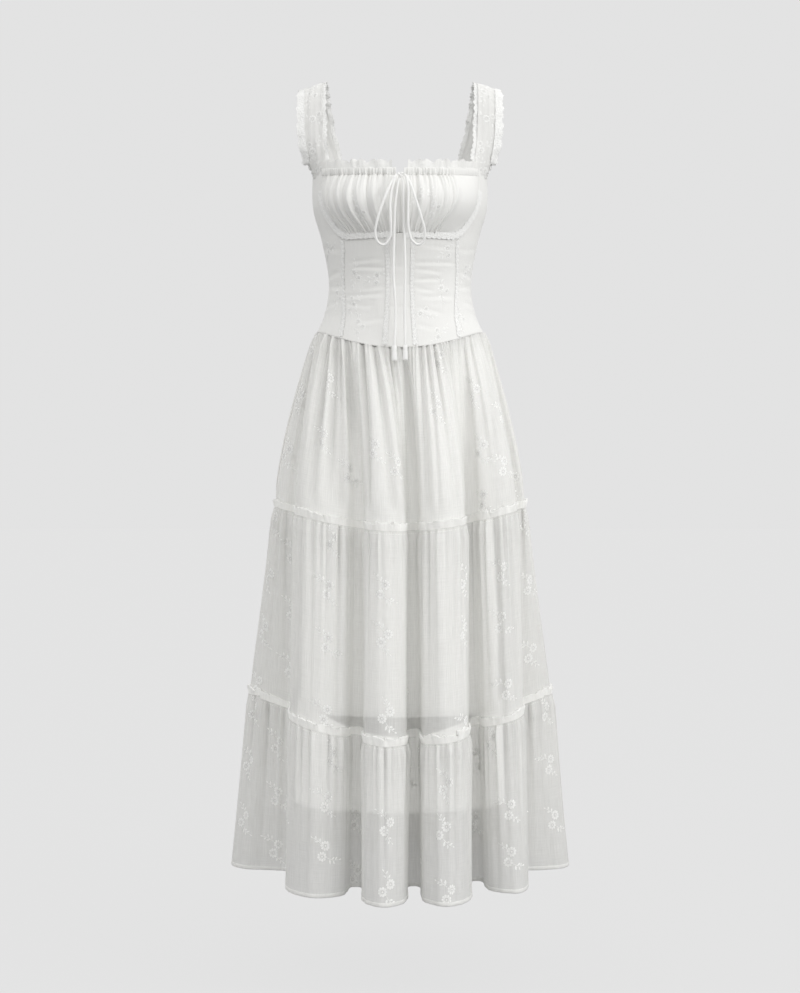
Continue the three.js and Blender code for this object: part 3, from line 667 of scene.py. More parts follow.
def smooth(table, z):
    """A table's columns at height z: a cubic between rows, its slope at a row set by both neighbours."""
    heights, values = table[:, 0], table[:, 1:]
    padded = np.r_[0, np.arange(len(table)), len(table) - 1]
    below, above = padded[2:], padded[:-2]
    slopes = (values[below] - values[above]) / (heights[below] - heights[above])[:, None]
    z = np.clip(z, heights[-1], heights[0])
    i = np.clip(np.searchsorted(-heights, -z, side="right") - 1, 0, len(table) - 2)
    span = (heights[i + 1] - heights[i])[..., None]
    t = (z - heights[i])[..., None] / span
    return hermite(values[i], values[i + 1], slopes[i] * span, slopes[i + 1] * span, t)


def ring_point(table, angle, z, out=0):
    """A point of an oval ring at an angle from the centre front, moved out square to the ring."""
    angle, z, out = np.broadcast_arrays(np.radians(angle), np.asarray(z, float), np.asarray(out, float))
    s, c = np.sin(angle), np.cos(angle)
    sizes = smooth(table, z)
    width = sizes[..., 0]
    depth = np.where(c >= 0, sizes[..., 1], sizes[..., 2])
    way = unit(np.stack([s / width, -c / depth], -1))
    return np.stack([width * s + way[..., 0] * out, -depth * c + way[..., 1] * out, z], -1)


# %% Seams of the bodice
PRINCESS = np.array([  # height, angle of the princess seam
    (-120, 61), (-176, 62), (-215, 57), (-249, 47), (-317, 52), (-394, 43), (-440, 40)], float)
UNDERBUST_Z, CASING_Z, CASING_HEIGHT, FRILL_HEIGHT, NECK_RISE = -249, -160, 11, 12, 9
STRAP_SEAM_Z, ARMHOLE_DROP, BACK_NECK_Z = -128, 34, -127
PLACKET_ANGLE, SIDE_ANGLE = 9.5, 92
HIP_Z, HIP_DIP = -396, 31
DIP_POWER = 1.25


def princess(z):
    """Angle of the princess seam at a height."""
    return smooth(PRINCESS, np.asarray(z, float))[..., 0]


def dip_share(share):
    """How much of a seam's dip is left at a share of the half width."""
    return np.maximum(0, 1 - share * share) ** DIP_POWER


def dipped(height, dip, angle):
    """Height of a seam that dips at the front."""
    turn = np.radians(angle)
    return height - np.where(np.cos(turn) > 0, dip * dip_share(np.sin(turn)), 0)


def hip_z(angle):
    """Height of the hip seam."""
    return dipped(HIP_Z, HIP_DIP, angle)


SIDES = {"left": -1, "right": 1}
MIRROR = np.array([-1, 1, 1])


def facing(grid, word):
    """A grid made for the right side, mirrored for the left one with its columns kept left to right."""
    return grid if word == "right" else grid[:, ::-1] * MIRROR


WAIST_Z = -317.0
print("waist", round(2 * float(smooth(BODICE, np.array(WAIST_Z))[0])), "mm wide")

# %% [markdown]
# ## Panels of the bodice
# Each panel is the stretch of the rings between two seams. The cotton is pulled a little by the seams,
# which leaves soft level wrinkles at the waist. A wrinkle is a long narrow trough with a low ridge
# under it, and a table places them one by one, as uneven as they are in the picture.

# %% Wrinkles
WRINKLES = {  # height, from and to as shares of the panel's width, depth, width, droop of the far end
    "left": [(-288, 0.1, 0.8, 0.8, 3.2, 3), (-302, 0.05, 0.7, 1.2, 2.8, -3), (-330, 0.0, 0.5, 0.8, 3.0, 4),
             (-342, 0.1, 0.95, 1.3, 3.4, 2), (-361, 0.3, 0.9, 0.7, 3.4, -4), (-381, 0.0, 0.6, 0.8, 4.0, 5)],
    "right": [(-268, 0.2, 0.9, 0.6, 3.0, 2), (-294, 0.0, 0.9, 1.2, 2.6, -2), (-304, 0.0, 0.6, 0.9, 2.6, 3),
              (-320, 0.0, 0.55, 1.3, 2.8, -2), (-333, 0.0, 0.45, 1.1, 2.8, 4), (-347, 0.2, 0.9, 1.1, 3.4, -3),
              (-364, 0.05, 0.6, 0.9, 4.0, 6), (-391, 0.0, 0.4, 0.8, 4.0, 4)],
    "side": [(-270, 0.0, 0.8, 0.6, 4, -5), (-305, 0.1, 0.9, 0.9, 4, 4), (-328, 0.0, 0.7, 0.8, 3.4, -3),
             (-352, 0.2, 1.0, 0.8, 4, 5)],
    "back": [(-265, 0.1, 0.45, 0.9, 5, 6), (-290, 0.5, 0.9, 1.1, 4, -6), (-308, 0.15, 0.7, 1.2, 4, 3),
             (-324, 0.3, 0.85, 1.0, 4, -4), (-346, 0.1, 0.5, 1.1, 5, 5), (-366, 0.45, 0.95, 0.9, 5, -5)],
    "placket": [(-300, 0, 1, 0.5, 3, 1), (-330, 0, 1, 0.6, 3, -2), (-362, 0, 1, 0.5, 3, 2)],
}
RIDGE_HEIGHT, RIDGE_BELOW = 0.55, 1.6  # a wrinkle's ridge, to its depth and to its width
WRINKLE_OVER, WRINKLE_FADE, SEAM_HOLD = 0.1, 0.25, 0.09  # shares of a panel's width


def hollow(x, middle, width):
    """A soft bell of height 1."""
    return np.exp(-((x - middle) / width) ** 2)


def window(x, start, end, soft):
    """1 between start and end, easing to 0 over a soft length at each."""
    return ease(x, start, start + soft) * (1 - ease(x, end - soft, end))


def wrinkles(rows, across, z):
    """Relief of a wrinkle table: each row is a trough with a lower ridge just below it."""
    relief = 0
    for height, start, end, depth, width, droop in rows:
        line = height - droop * ease(across, start, end)
        shown = window(across, start - WRINKLE_OVER, end + WRINKLE_OVER, WRINKLE_FADE)
        ridge = RIDGE_HEIGHT * hollow(z, line - RIDGE_BELOW * width, width)
        relief = relief + depth * shown * (ridge - hollow(z, line, width))
    return relief * window(across, 0, 1, SEAM_HOLD)


def seam_pinch(across, depth=0.3, width=0.03):
    """The cloth dips into the seam at both edges of a panel."""
    return -depth * (hollow(across, 0, width) + hollow(across, 1, width))


# %% Front and side panels
FOOT_Z = -410.0  # near the hip seam, where it meets the princess seam
ARMHOLE_FRONT, ARMHOLE_BACK = 76, 122  # angles where the armhole starts to drop


def front_panel(word):
    """Centre front, from placket to princess seam: the angle runs across and the height down."""
    across, down = spread(56, 72)
    foot = hip_z(lerp(PLACKET_ANGLE, princess(FOOT_Z), across))
    z = lerp(UNDERBUST_Z, foot, down)
    grid = ring_point(BODICE, lerp(PLACKET_ANGLE, princess(z), across), z)
    relief = wrinkles(WRINKLES[word], across, z) + seam_pinch(across)
    return facing(raised(grid, relief), word)


def side_panel(word):
    """Side, from princess seam to side seam and from hip seam to armhole."""
    across, down = spread(44, 96)
    foot = hip_z(lerp(princess(FOOT_Z), SIDE_ANGLE, across))
    high = lerp(princess(STRAP_SEAM_Z), SIDE_ANGLE, across)
    z = lerp(STRAP_SEAM_Z - ARMHOLE_DROP * ease(high, ARMHOLE_FRONT, SIDE_ANGLE), foot, down)
    grid = ring_point(BODICE, lerp(princess(z), SIDE_ANGLE, across), z)
    relief = wrinkles(WRINKLES["side"], across, z) + seam_pinch(across)
    return facing(raised(grid, relief), word)


# %% Placket and back
def placket_panel():
    """The narrow strip at the centre front."""
    across, down = spread(20, 60)
    angle = lerp(-PLACKET_ANGLE, PLACKET_ANGLE, across)
    z = lerp(UNDERBUST_Z, hip_z(angle), down)
    relief = wrinkles(WRINKLES["placket"], across, z) + seam_pinch(across, 0.6, 0.06)
    return raised(ring_point(BODICE, angle, z), relief)


def back_panel():
    """One plain back: level between the straps, dropping to the armholes."""
    across, down = spread(96, 64)
    angle = lerp(SIDE_ANGLE, 360 - SIDE_ANGLE, across)
    round_back = 180 - np.abs(180 - angle)
    top = lerp(STRAP_SEAM_Z - ARMHOLE_DROP, BACK_NECK_Z, ease(round_back, SIDE_ANGLE, ARMHOLE_BACK))
    z = lerp(top, hip_z(angle), down)
    return raised(ring_point(BODICE, angle, z), wrinkles(WRINKLES["back"], across, z) + seam_pinch(across))


BODICE_WALL = 0.8


def thick_piece(name, grid, node, finish=LINED):
    """A piece of cotton with thickness; its inner side is plain, in a darker copy of the cotton that paints
    shade.
    """
    dress_piece(cloth(name, grid, finish, BODICE_WALL, SHADED_INSIDE), "cotton", node)


for word in SIDES:
    thick_piece(f"bodice_front_{word}", front_panel(word), f"front_{word}")
    thick_piece(f"bodice_side_{word}", side_panel(word), f"side_{word}")
thick_piece("bodice_placket", placket_panel(), "placket")
thick_piece("bodice_back", back_panel(), "back")
print("bodice panels:", [name for name in GRIDS if name.startswith("bodice")])

# %% [markdown]
# ## Bust cups, casing and neck frill
# The cups are gathered into the casing that holds the drawstring. Large folds are the ones of the
# solids, placed one by one. Between them lie short fine gathers that start at the casing and at the
# underbust seam and die away, so the middle of a cup stays smooth.

# %% Gathers
CUP_BULGE, CUP_INNER_EDGE, CUP_FULLNESS = 19, 0.12, 0.8
CUP_GATHERS = {  # place across the cup from the centre, height, width, drift towards the side at the foot
    "left": [(0.12, 3.0, 0.04, 0.0), (0.25, 4.2, 0.035, 0.03), (0.39, 3.4, 0.04, 0.05),
             (0.51, 4.4, 0.035, 0.05), (0.63, 3.2, 0.04, 0.07), (0.74, 3.8, 0.035, 0.06),
             (0.85, 2.6, 0.04, 0.03)],
    "right": [(0.1, 2.8, 0.04, 0.0), (0.22, 3.6, 0.04, -0.02), (0.34, 4.4, 0.035, -0.03),
              (0.46, 3.2, 0.04, -0.04), (0.58, 4.4, 0.045, -0.06)],
}
CUP_CREASES = {  # place at the casing, drift of the foot, depth, how far down it runs
    "left": [(0.06, 0.0, 1.0, 0.9), (0.185, 0.02, 1.6, 0.8), (0.26, 0.02, 1.0, 0.5), (0.32, 0.04, 2.0, 1.0),
             (0.45, 0.06, 1.6, 0.9), (0.52, 0.07, 1.0, 0.5), (0.57, 0.09, 2.2, 1.1), (0.685, 0.11, 2.0, 1.1),
             (0.795, 0.12, 2.2, 1.1), (0.9, 0.06, 1.4, 0.8)],
    "right": [(0.05, 0.0, 1.0, 0.9), (0.16, 0.03, 1.6, 0.8), (0.22, 0.04, 1.0, 0.5), (0.28, 0.05, 2.0, 1.0),
              (0.35, 0.08, 1.6, 0.9), (0.41, 0.07, 2.0, 1.1), (0.52, 0.04, 2.4, 1.2)],
}
CREASE_WIDTH, CREASE_DEPTH, CREASE_FADE = 0.013, 1.3, 0.4
CUP_SMOOTH_FROM = {"left": 1.0, "right": 0.62}  # past this place the cup has no gathers
SMOOTH_FADE = 0.06
CREASE_SHARPNESS, CREASE_LEAN, CREST = 2.2, 0.7, 0.7  # with this crest, ripples are as much in as out
WANDER, WANDER_PACE = 1.5, 1.9  # how far the phase of a ripple strays, and its pace in spacings
SWELL, SWELL_PACE = 0.6, 2.7  # how much its height changes, and its pace


def gathers(along, below, waves, seed):
    """Uneven ripples that hang from a seam: each wave has a spacing, a height and a reach in millimetres;
    its phase wanders along the seam, its crests are broad, its creases narrow and steeper on one side, and
    it dies away."""
    draw = np.random.default_rng(seed)
    relief = 0
    for spacing, height, reach in waves:
        phase, wander, swell = draw.uniform(0, TURN, 3)
        turn = TURN * along / spacing + phase + WANDER * np.sin(along / (WANDER_PACE * spacing) + wander)
        strength = 1 + SWELL * np.sin(along / (SWELL_PACE * spacing) + swell)
        ripple = CREST - 2 * (0.5 - 0.5 * np.cos(turn + CREASE_LEAN * np.cos(turn))) ** CREASE_SHARPNESS
        relief = relief + height * strength * ripple * np.exp(-below / reach)
    return relief


def neck_rise(angle):
    """The neckline climbs from the centre to the straps."""
    return NECK_RISE * np.sin(np.radians(angle)) ** 2


# %% Cups
CUP_WAVES = [(4.5, 0.6, 10), (7, 1.0, 18), (10, 1.1, 30)]  # spacing, height and reach
CASING_SEED, UNDERBUST_SEED, UNDERBUST_SHARE = 11, 12, 0.8
CUP_TALL, CUP_WIDE, CUP_EDGE, CUP_COLUMNS = 95, 140, 0.05, 190
FOLD_FLOOR, DRIFT_POWER = 0.3, 1.5  # height of the folds at a cup's edges, and how late they drift


def cup_folds(word, place, down):
    """Relief of a gathered cup: broad folds, sharp creases that fall away on both sides, and fine gathers."""
    relief = 0
    deep = lerp(FOLD_FLOOR, 1, np.sin(np.pi * (1 - down)))
    for at, height, width, drift in CUP_GATHERS[word]:
        relief = relief + deep * height * hollow(place, at + drift * down ** DRIFT_POWER, width)
    for at, drift, depth, reach in CUP_CREASES[word]:
        crease = np.exp(-np.abs(place - at - drift * down ** DRIFT_POWER) / CREASE_WIDTH)
        relief = relief - CREASE_DEPTH * depth * crease * (1 - ease(down, reach - CREASE_FADE, reach))
    along = place * CUP_WIDE
    hanging = gathers(along, down * CUP_TALL, CUP_WAVES, CASING_SEED)
    rising = gathers(along, (1 - down) * CUP_TALL, CUP_WAVES, UNDERBUST_SEED)
    smooth_from = CUP_SMOOTH_FROM[word]
    fine = (hanging + UNDERBUST_SHARE * rising) * (1 - ease(place, smooth_from - SMOOTH_FADE, smooth_from))
    return relief + fine


def cup(word):
    """A bust cup: a swell over the ring of the bodice, with its folds."""
    across, down = spread(CUP_COLUMNS, 70)
    up = 1 - down
    rim = lerp(CUP_EDGE, princess(CASING_Z), across)
    z = lerp(UNDERBUST_Z, CASING_Z + neck_rise(rim), up)
    angle = lerp(CUP_EDGE, princess(z), across)
    swell = np.maximum(np.sin(np.pi * lerp(CUP_INNER_EDGE, 1, across)), 0) * np.sin(np.pi * up)
    out = CUP_BULGE * swell ** CUP_FULLNESS + cup_folds(word, across, down)
    return facing(ring_point(BODICE, angle, z, out), word)


# %% Casing
CASING_ANGLES, FRILL_ANGLES = (2.4, 60.4), (5, 60.4)
CASING_OUT, CASING_LAP, CASING_TUCK, CASING_BELLY, BELLY_POWER = 1.5, 0.8, 0.3, 1.3, 0.7
SMOOTH_OVER = 0.02
PUCKERS, PUCKER_SEED, PUCKER_SHARE = [(4.3, 0.5, 1), (6.1, 0.55, 1)], 21, 0.85


def casing(word):
    """The drawstring's channel: a rounded band, puckered by the cord inside it."""
    across, down = spread(CUP_COLUMNS, 12)
    angle = lerp(*CASING_ANGLES, across)
    z = CASING_Z + neck_rise(angle) + (1 - down) * CASING_HEIGHT - CASING_LAP * down
    smooth_from = CUP_SMOOTH_FROM[word]
    gathered = 1 - PUCKER_SHARE * ease(across, smooth_from - SMOOTH_FADE, smooth_from + SMOOTH_OVER)
    pucker = gathered * gathers(across * CUP_WIDE, 0 * down, PUCKERS, PUCKER_SEED)
    folds = cup_folds(word, angle / princess(CASING_Z), 0 * down)
    belly = np.sin(np.pi * down) ** BELLY_POWER
    out = lerp(CASING_OUT, folds - CASING_TUCK, down) + (CASING_BELLY + pucker) * belly
    return facing(ring_point(BODICE, angle, z, out), word)


# %% Frill
FRILL_COLUMNS, FRILL_RUN, FRILL_LAP = 240, 132, 0.8
FRILL_WAVES, FRILL_SEED = [(10, 0.6, 1), (17, 1.3, 1), (31, 1.2, 1)], 31  # of its free edge
FRILL_FLAT_FROM, FRILL_FLAT = (0.66, 0.8), 0.75  # where it lies flat, and by how much
FRILL_PACE, FRILL_STRAY, STRAY_PACE, BROAD_PACE = 2.1, 2.2, 9, 1.7  # of the waves across the frill
BROAD_WAVE, FINE_WAVE, FRILL_LEAN = (0.3, 2.4), (0.4, 0.9), 2  # their heights at foot and free edge


def neck_frill(word):
    """The frill above the casing: waves that grow towards its free edge, flat beside the straps."""
    across, down = spread(FRILL_COLUMNS, 12)
    angle = lerp(*FRILL_ANGLES, across)
    up = 1 - down
    along = across * FRILL_RUN
    loose = 1 - FRILL_FLAT * ease(across, *FRILL_FLAT_FROM)
    edge = loose * gathers(along, 0 * down, FRILL_WAVES, FRILL_SEED)
    z = CASING_Z + neck_rise(angle) + CASING_HEIGHT + up * (FRILL_HEIGHT - FRILL_LAP + edge)
    turn = along / FRILL_PACE + FRILL_STRAY * np.sin(along / STRAY_PACE)
    wave = lerp(*BROAD_WAVE, up) * np.cos(turn / BROAD_PACE) + lerp(*FINE_WAVE, up) * np.cos(turn + 1)
    out = CASING_OUT + FRILL_LEAN * up + loose * wave
    return facing(ring_point(BODICE, angle, z, out), word)


for word in SIDES:
    thick_piece(f"cup_shell_{word}", cup(word), f"cup_{word}")
    thick_piece(f"casing_band_{word}", casing(word), f"casing_{word}")
    dress_piece(cloth(f"frill_{word}", neck_frill(word), FRILL), "cotton", f"neck_frill_{word}")
print("cups, casing and frill made")

# %% [markdown]
# ## The form of the skirt
# Seen from above, the skirt's edge is one closed curve that swings out to a crest and in to a valley
# eleven times. The fold table gives each crest and valley at the hem, and the two seams above repeat
# it smaller. A tier is what lies between two such rings. Sampling the curve at even steps of length
# keeps the columns of the cloth even, so that weave and embroidery don't stretch.

# %% Rings of the skirt
FOLDS = np.array([  # crest: right, forward; valley after it: right, forward; from the left by the front
    (-273, -42, -189, 12), (-126, 210, -67, 135), (-22, 272, 21, 130), (69, 267, 118, 92),
    (176, 178, 204, 12), (273, -38, 192, -112), (164, -204, 118, -146), (82, -260, 42, -158),
    (-6, -272, -48, -154), (-92, -256, -126, -142), (-170, -198, -194, -106)], float)
HEM_HALF_WIDTH, HEM_FRONT = 270, 272
UPPER = dict(half_width=201, front=190, valley=0.93, z=-675, dip=35)
LOWER = dict(half_width=242, front=238, valley=0.97, z=-976, dip=50)
HEM = dict(half_width=HEM_HALF_WIDTH, front=HEM_FRONT, valley=1.0, z=-1253, dip=0)
SHOULDER_ACROSS, SHOULDER_IN, VALLEY_FLOOR = 0.66, 0.22, 14
HALVES = {"front": (0, 5 / 11), "back": (5 / 11, 1)}  # shares of the way round: 5 folds and 6
HALF_ANGLES = {"front": (-90, 90), "back": (90, 270)}
TIER_FLARE = 1.5
EVEN_POINTS = 3000


def fold_points(level):
    """Five points for each fold: crest, shoulder, two of the valley's floor, and the next shoulder."""
    crest_x, crest_d, valley_x, valley_d = FOLDS.T
    narrow = 1 - (1 - level["half_width"] / HEM_HALF_WIDTH) * (crest_x / HEM_HALF_WIDTH) ** 2
    crest = np.stack([crest_x * narrow, -crest_d * level["front"] / HEM_FRONT], -1)
    valley = np.stack([valley_x, -valley_d], -1) * level["valley"]

    def shoulder(top):
        sideways = np.abs(top[:, 1]) >= np.abs(top[:, 0]) / 2
        share = np.where(sideways[:, None], (SHOULDER_ACROSS, SHOULDER_IN), (SHOULDER_IN, SHOULDER_ACROSS))
        return lerp(top, valley, share)

    enter, leave = shoulder(crest), shoulder(np.roll(crest, -1, 0))
    axis = (enter + leave) / 2 - valley
    floor = unit(np.stack([axis[:, 1], -axis[:, 0]], -1)) * VALLEY_FLOOR / 2
    floor *= np.sign(np.sum(floor * (leave - enter), -1))[:, None]
    return np.stack([crest, enter, valley - floor, valley + floor, leave], 1).reshape(-1, 2)


def fold_ring(level, t):
    """The ring of a seam at shares t of the way round, with its dip at the front."""
    xy = catmull_rom(fold_points(level), t, closed=True)
    share = np.minimum(1, np.abs(xy[..., 0]) / level["half_width"])
    z = level["z"] - np.where(xy[..., 1] < 0, level["dip"] * dip_share(share), 0)
    return np.concatenate([xy, z[..., None]], -1)


def even_shares(level, half, across):
    """Shares round a ring that lie at even steps of length along its front or back half."""
    fine = np.linspace(*HALVES[half], EVEN_POINTS)
    run = lengths_along(catmull_rom(fold_points(level), fine, closed=True), 0)
    return np.interp(across * run[-1], run, fine), run[-1]


# %% The plain form of each tier
def top_tier(half, across, down):
    """From the hip seam to the upper ring; it swells quickly below the hip and then hangs."""
    angle = lerp(*HALF_ANGLES[half], across)
    hip = ring_point(BODICE, angle, hip_z(angle))
    low = fold_ring(UPPER, even_shares(UPPER, half, across)[0])
    swell = 1 - (1 - down) ** TIER_FLARE
    return lerp(hip, low, np.stack([swell, swell, down], -1))


def middle_tier(half, across, down):
    """Straight between the upper and lower rings."""
    t = even_shares(LOWER, half, across)[0]
    return lerp(fold_ring(UPPER, t), fold_ring(LOWER, t), down[..., None])


def hem_tier(half, across, down):
    """Straight between the lower ring and the hem."""
    t = even_shares(HEM, half, across)[0]
    return lerp(fold_ring(LOWER, t), fold_ring(HEM, t), down[..., None])


print("hem", round(sum(even_shares(HEM, half, np.ones(1))[1] for half in HALVES)), "mm round")

# %% [markdown]
# ## Creases of the tiers
# Three kinds of relief are added to the plain tiers. Long creases are listed one by one: a trough or
# ridge at a distance from the centre line, with its own depth, width and reach. Gathers hang from each
# seam and die away. A low puff lets the cloth spring out below a seam. The back has creases like the
# front's, in other places.

# %% Tables of creases and gathers
TOP, MIDDLE, BOTTOM = "top", "middle", "hem"
TIER_HEIGHT = {TOP: 281, MIDDLE: 301, BOTTOM: 277}
TIER_FORM = {TOP: top_tier, MIDDLE: middle_tier, BOTTOM: hem_tier}
TIER_SIZE = {  # columns and rows of each panel
    (TOP, "front"): (440, 84), (MIDDLE, "front"): (470, 88), (BOTTOM, "front"): (520, 84),
    (TOP, "back"): (320, 50), (MIDDLE, "back"): (340, 50), (BOTTOM, "back"): (380, 48)}
CREASES = {  # distance right of the centre, height (troughs below 0), width, start and end down the tier
    (TOP, "front"): [
        (-172, -4, 8, 0, 0.8), (-156, -5, 9, 0, 0.95), (-142, 2.5, 8, 0, 0.8), (-129, -9, 9, 0, 0.9),
        (-115, 5, 6, 0, 0.9), (-103, -13, 9, 0, 1.1), (-88, 5, 7, 0, 0.9), (-73, -11, 8, 0, 0.75),
        (-62, 4, 5, 0, 0.9), (-52, -8, 7, 0, 1), (-36, 3, 9, 0, 0.85), (-14, -2.5, 6, 0, 0.5),
        (4, 2.5, 8, 0, 0.7), (21, -6, 9, 0, 1), (38, 2.5, 8, 0, 0.7), (50, -2.5, 6, 0, 0.45),
        (65, -4, 8, 0, 0.8), (84, 2.5, 10, 0, 0.7), (103, -3, 7, 0, 0.6), (129, -4.5, 10, 0, 0.95),
        (152, -3, 7, 0, 0.7), (168, 2.5, 8, 0, 0.6)],
    (TOP, "back"): [
        (-160, -4, 9, 0, 0.9), (-132, 3, 9, 0, 0.7), (-112, -4, 8, 0, 0.6), (-84, -5, 9, 0, 1),
        (-58, 3, 9, 0, 0.8), (-34, -5, 8, 0, 0.8), (-8, 3, 9, 0, 0.7), (14, -4, 8, 0, 0.95),
        (36, -3, 7, 0, 0.5), (62, -5, 9, 0, 0.9), (90, 3, 10, 0, 0.8), (118, -4, 8, 0, 0.7),
        (146, -4, 9, 0, 0.9)],
    (MIDDLE, "front"): [
        (-168, -2, 8, 0, 0.6), (-149, -2.5, 8, 0, 0.8), (-112, -2, 7, 0, 0.45), (-88, 3.2, 7, 0, 0.75),
        (-80, -2.5, 6, 0, 0.7), (-38, -1.8, 7, 0, 0.5), (-22, 2, 8, 0, 0.6), (-8, -1.5, 6, 0.05, 0.55),
        (42, -2.8, 7, 0, 0.6), (56, 2, 9, 0, 0.7), (82, -2, 9, 0, 0.85), (131, 3, 7, 0, 0.7),
        (140, -2.5, 6, 0, 0.6), (176, -2, 8, 0, 0.8), (192, 2, 8, 0.1, 0.9)],
    (MIDDLE, "back"): [
        (-180, -2.5, 9, 0, 0.8), (-150, 2.5, 9, 0, 0.7), (-96, -2.5, 8, 0, 0.6), (-70, 2.5, 8, 0, 0.8),
        (-20, -2.5, 8, 0, 0.5), (8, 2, 8, 0, 0.7), (64, -2.5, 8, 0, 0.8), (104, 2.5, 9, 0, 0.6),
        (156, -2.5, 9, 0, 0.8)],
    (BOTTOM, "front"): [
        (-226, -2, 10, 0, 0.7), (-196, 2, 10, 0.1, 0.9), (-150, -2.2, 8, 0, 0.5),
        (-124, 3.2, 7, 0, 0.85), (-114, -2.2, 7, 0, 0.7), (-88, -1.8, 8, 0.2, 0.9),
        (-36, -2, 6, 0, 0.45), (-24, 2, 7, 0, 0.6), (-10, -2, 6, 0, 0.5), (60, -2.2, 7, 0, 0.5),
        (74, 2.2, 8, 0, 0.6), (90, -1.8, 8, 0, 0.7), (152, 2.5, 8, 0, 0.8), (166, -2.2, 7, 0, 0.6),
        (208, -2.5, 9, 0, 0.8), (232, 2.5, 9, 0, 0.9)],
    (BOTTOM, "back"): [
        (-214, -2.5, 10, 0, 0.8), (-172, 2.5, 9, 0, 0.7), (-98, 2.5, 8, 0, 0.8), (-84, -2.5, 8, 0, 0.6),
        (-12, -2, 8, 0, 0.5), (6, 2.5, 8, 0, 0.7), (76, -2.5, 8, 0, 0.6), (94, 2.5, 9, 0, 0.8),
        (170, -2.5, 9, 0, 0.8), (222, 2, 9, 0, 0.8)],
}
WAVES = {  # spacing along the seam, height, reach
    TOP: [(6.5, 1.5, 35), (9.5, 2.6, 80), (14, 3.2, 170), (23, 3.8, 450)],
    MIDDLE: [(6, 1.1, 25), (9, 2.2, 55), (14, 2.9, 110), (23, 2.4, 170), (37, 1.5, 300)],
    BOTTOM: [(6, 1.1, 25), (9.5, 2.2, 55), (15, 2.9, 110), (24, 2.4, 170), (41, 1.5, 300)],
}
PUFF = {TOP: 0, MIDDLE: 2.0, BOTTOM: 2.0}
SEEDS = {TOP: 40, MIDDLE: 50, BOTTOM: 60}


# %% Creases by the table
CREASE_LEAD, CREASE_SOFT, CREASE_HOLD = 0.1, 0.25, 0.4  # how a crease comes and goes down the tier


def creases(grid, rows, down):
    """Relief of a crease table: ridges are bells across the cloth and troughs come to a sharp line; each is
    shown for its own stretch of the way down."""
    middle_row = grid[grid.shape[0] // 2]
    along = lengths_along(grid, 1)[grid.shape[0] // 2]
    order = np.argsort(middle_row[:, 0])
    relief = 0
    for x, height, width, start, end in rows:
        place = np.interp(x, middle_row[order, 0], along[order])
        shown = 1 - ease(down, end * CREASE_HOLD, end)
        if start:
            shown = window(down, start - CREASE_LEAD, end, CREASE_SOFT)
        apart = along[None] - place
        shape = hollow(apart, 0, width) if height > 0 else np.exp(-np.abs(apart) / width)
        relief = relief + height * shape * shown
    return relief


# %% Tier panels
# depth of a valley, in millimetres, at which its painted shade is full
VALLEY_DEPTH = 13
PUFF_RISE, PUFF_FALL = 30, 120  # millimetres below the seam
SEAM_SHARE, SEAM_FREE = 0.5, 20  # how much of the relief a seam leaves, and where all of it shows
FOOT_SHARE, FOOT_FREE, FOOT_HELD = 0.9, 45, 16  # how much the next seam takes, and where, above it
SIDE_OVER, SIDE_FADE = 0.02, 0.03  # the relief fades at the side seams


def tier_panel(tier, half):
    """One panel of a tier: its plain form, raised by creases, gathers and the puff below its seam. How far
    each point lies down in a valley, from 0 to 1, comes with it: the mask of the painted shade in the sheer
    finish."""
    columns, rows = TIER_SIZE[tier, half]
    across, down = spread(columns, rows)
    grid = TIER_FORM[tier](half, across, down)
    below = down * TIER_HEIGHT[tier]
    seam_run = lengths_along(grid[:1], 1)
    hang = gathers(seam_run, below, WAVES[tier], SEEDS[tier] + len(half))
    puff = PUFF[tier] * (1 - np.exp(-below / PUFF_RISE)) * np.exp(-below / PUFF_FALL)
    relief = creases(grid, CREASES[tier, half], down) + hang + puff
    held = lerp(SEAM_SHARE, 1, ease(below, 0, SEAM_FREE))
    if tier != BOTTOM:
        above = TIER_HEIGHT[tier] - below
        held = held * (1 - FOOT_SHARE * ease(-above, -FOOT_FREE, -FOOT_HELD))
    ends = window(across, -SIDE_OVER, 1 + SIDE_OVER, SIDE_FADE)
    relief = relief * held * ends
    return raised(grid, relief), np.clip(-relief / VALLEY_DEPTH, 0, 1)


for tier, half in TIER_SIZE:
    grid, valley = tier_panel(tier, half)
    piece = cloth(f"{tier}_tier_shell_{half}", grid, SHEER)
    # the valley attribute is the mask of the painted shade in the sheer finish
    piece.data.attributes.new("valley", "FLOAT", "POINT").data.foreach_set("value", valley.ravel())
    dress_piece(piece, "cotton", f"{tier}_tier_{half}")
print("tiers:", {name: GRIDS[name].shape[:2] for name in GRIDS if "_tier_" in name})

# %% [markdown]
# ## Headings and hem
# Each lower tier is gathered a little below its top edge, so the edge stands up as a small frill. Its
# free edge is rolled, which shows as a bright thread. The hem is turned twice: a narrow band, denser
# than the single cloth. Both are profiles carried along a ring of the skirt.

# %% Headings
HEADING_HEIGHT, HEADING_FOOT = 11, 0.9
ROLL = 0.5
HEADINGS = {"upper": (TOP, UPPER, 71), "lower": (MIDDLE, LOWER, 72)}
HEADING_WAVES = [(9, 0.4, 1), (15, 1.0, 1), (27, 1.4, 1)]
EDGE_WAVES = [(15, 0.7, 1), (26, 1.3, 1), (58, 1.8, 1)]
CURL_PITCH, CURL, CURL_STRAY, CURL_PACE = 21, 3.2, 2, 29
VALLEY_FULL, FOOT_SWING, STAND_OUT, END_FADE = 0.25, 0.15, 1.5, 0.01
HEADING_COLUMNS = {"front": 760, "back": 560}
ROLL_ROWS, RISE_ROWS, ROLL_TURN = 4, 9, 1.4 * np.pi
HEADING_OUT, LEAST_OUT = 0.9, 0.8


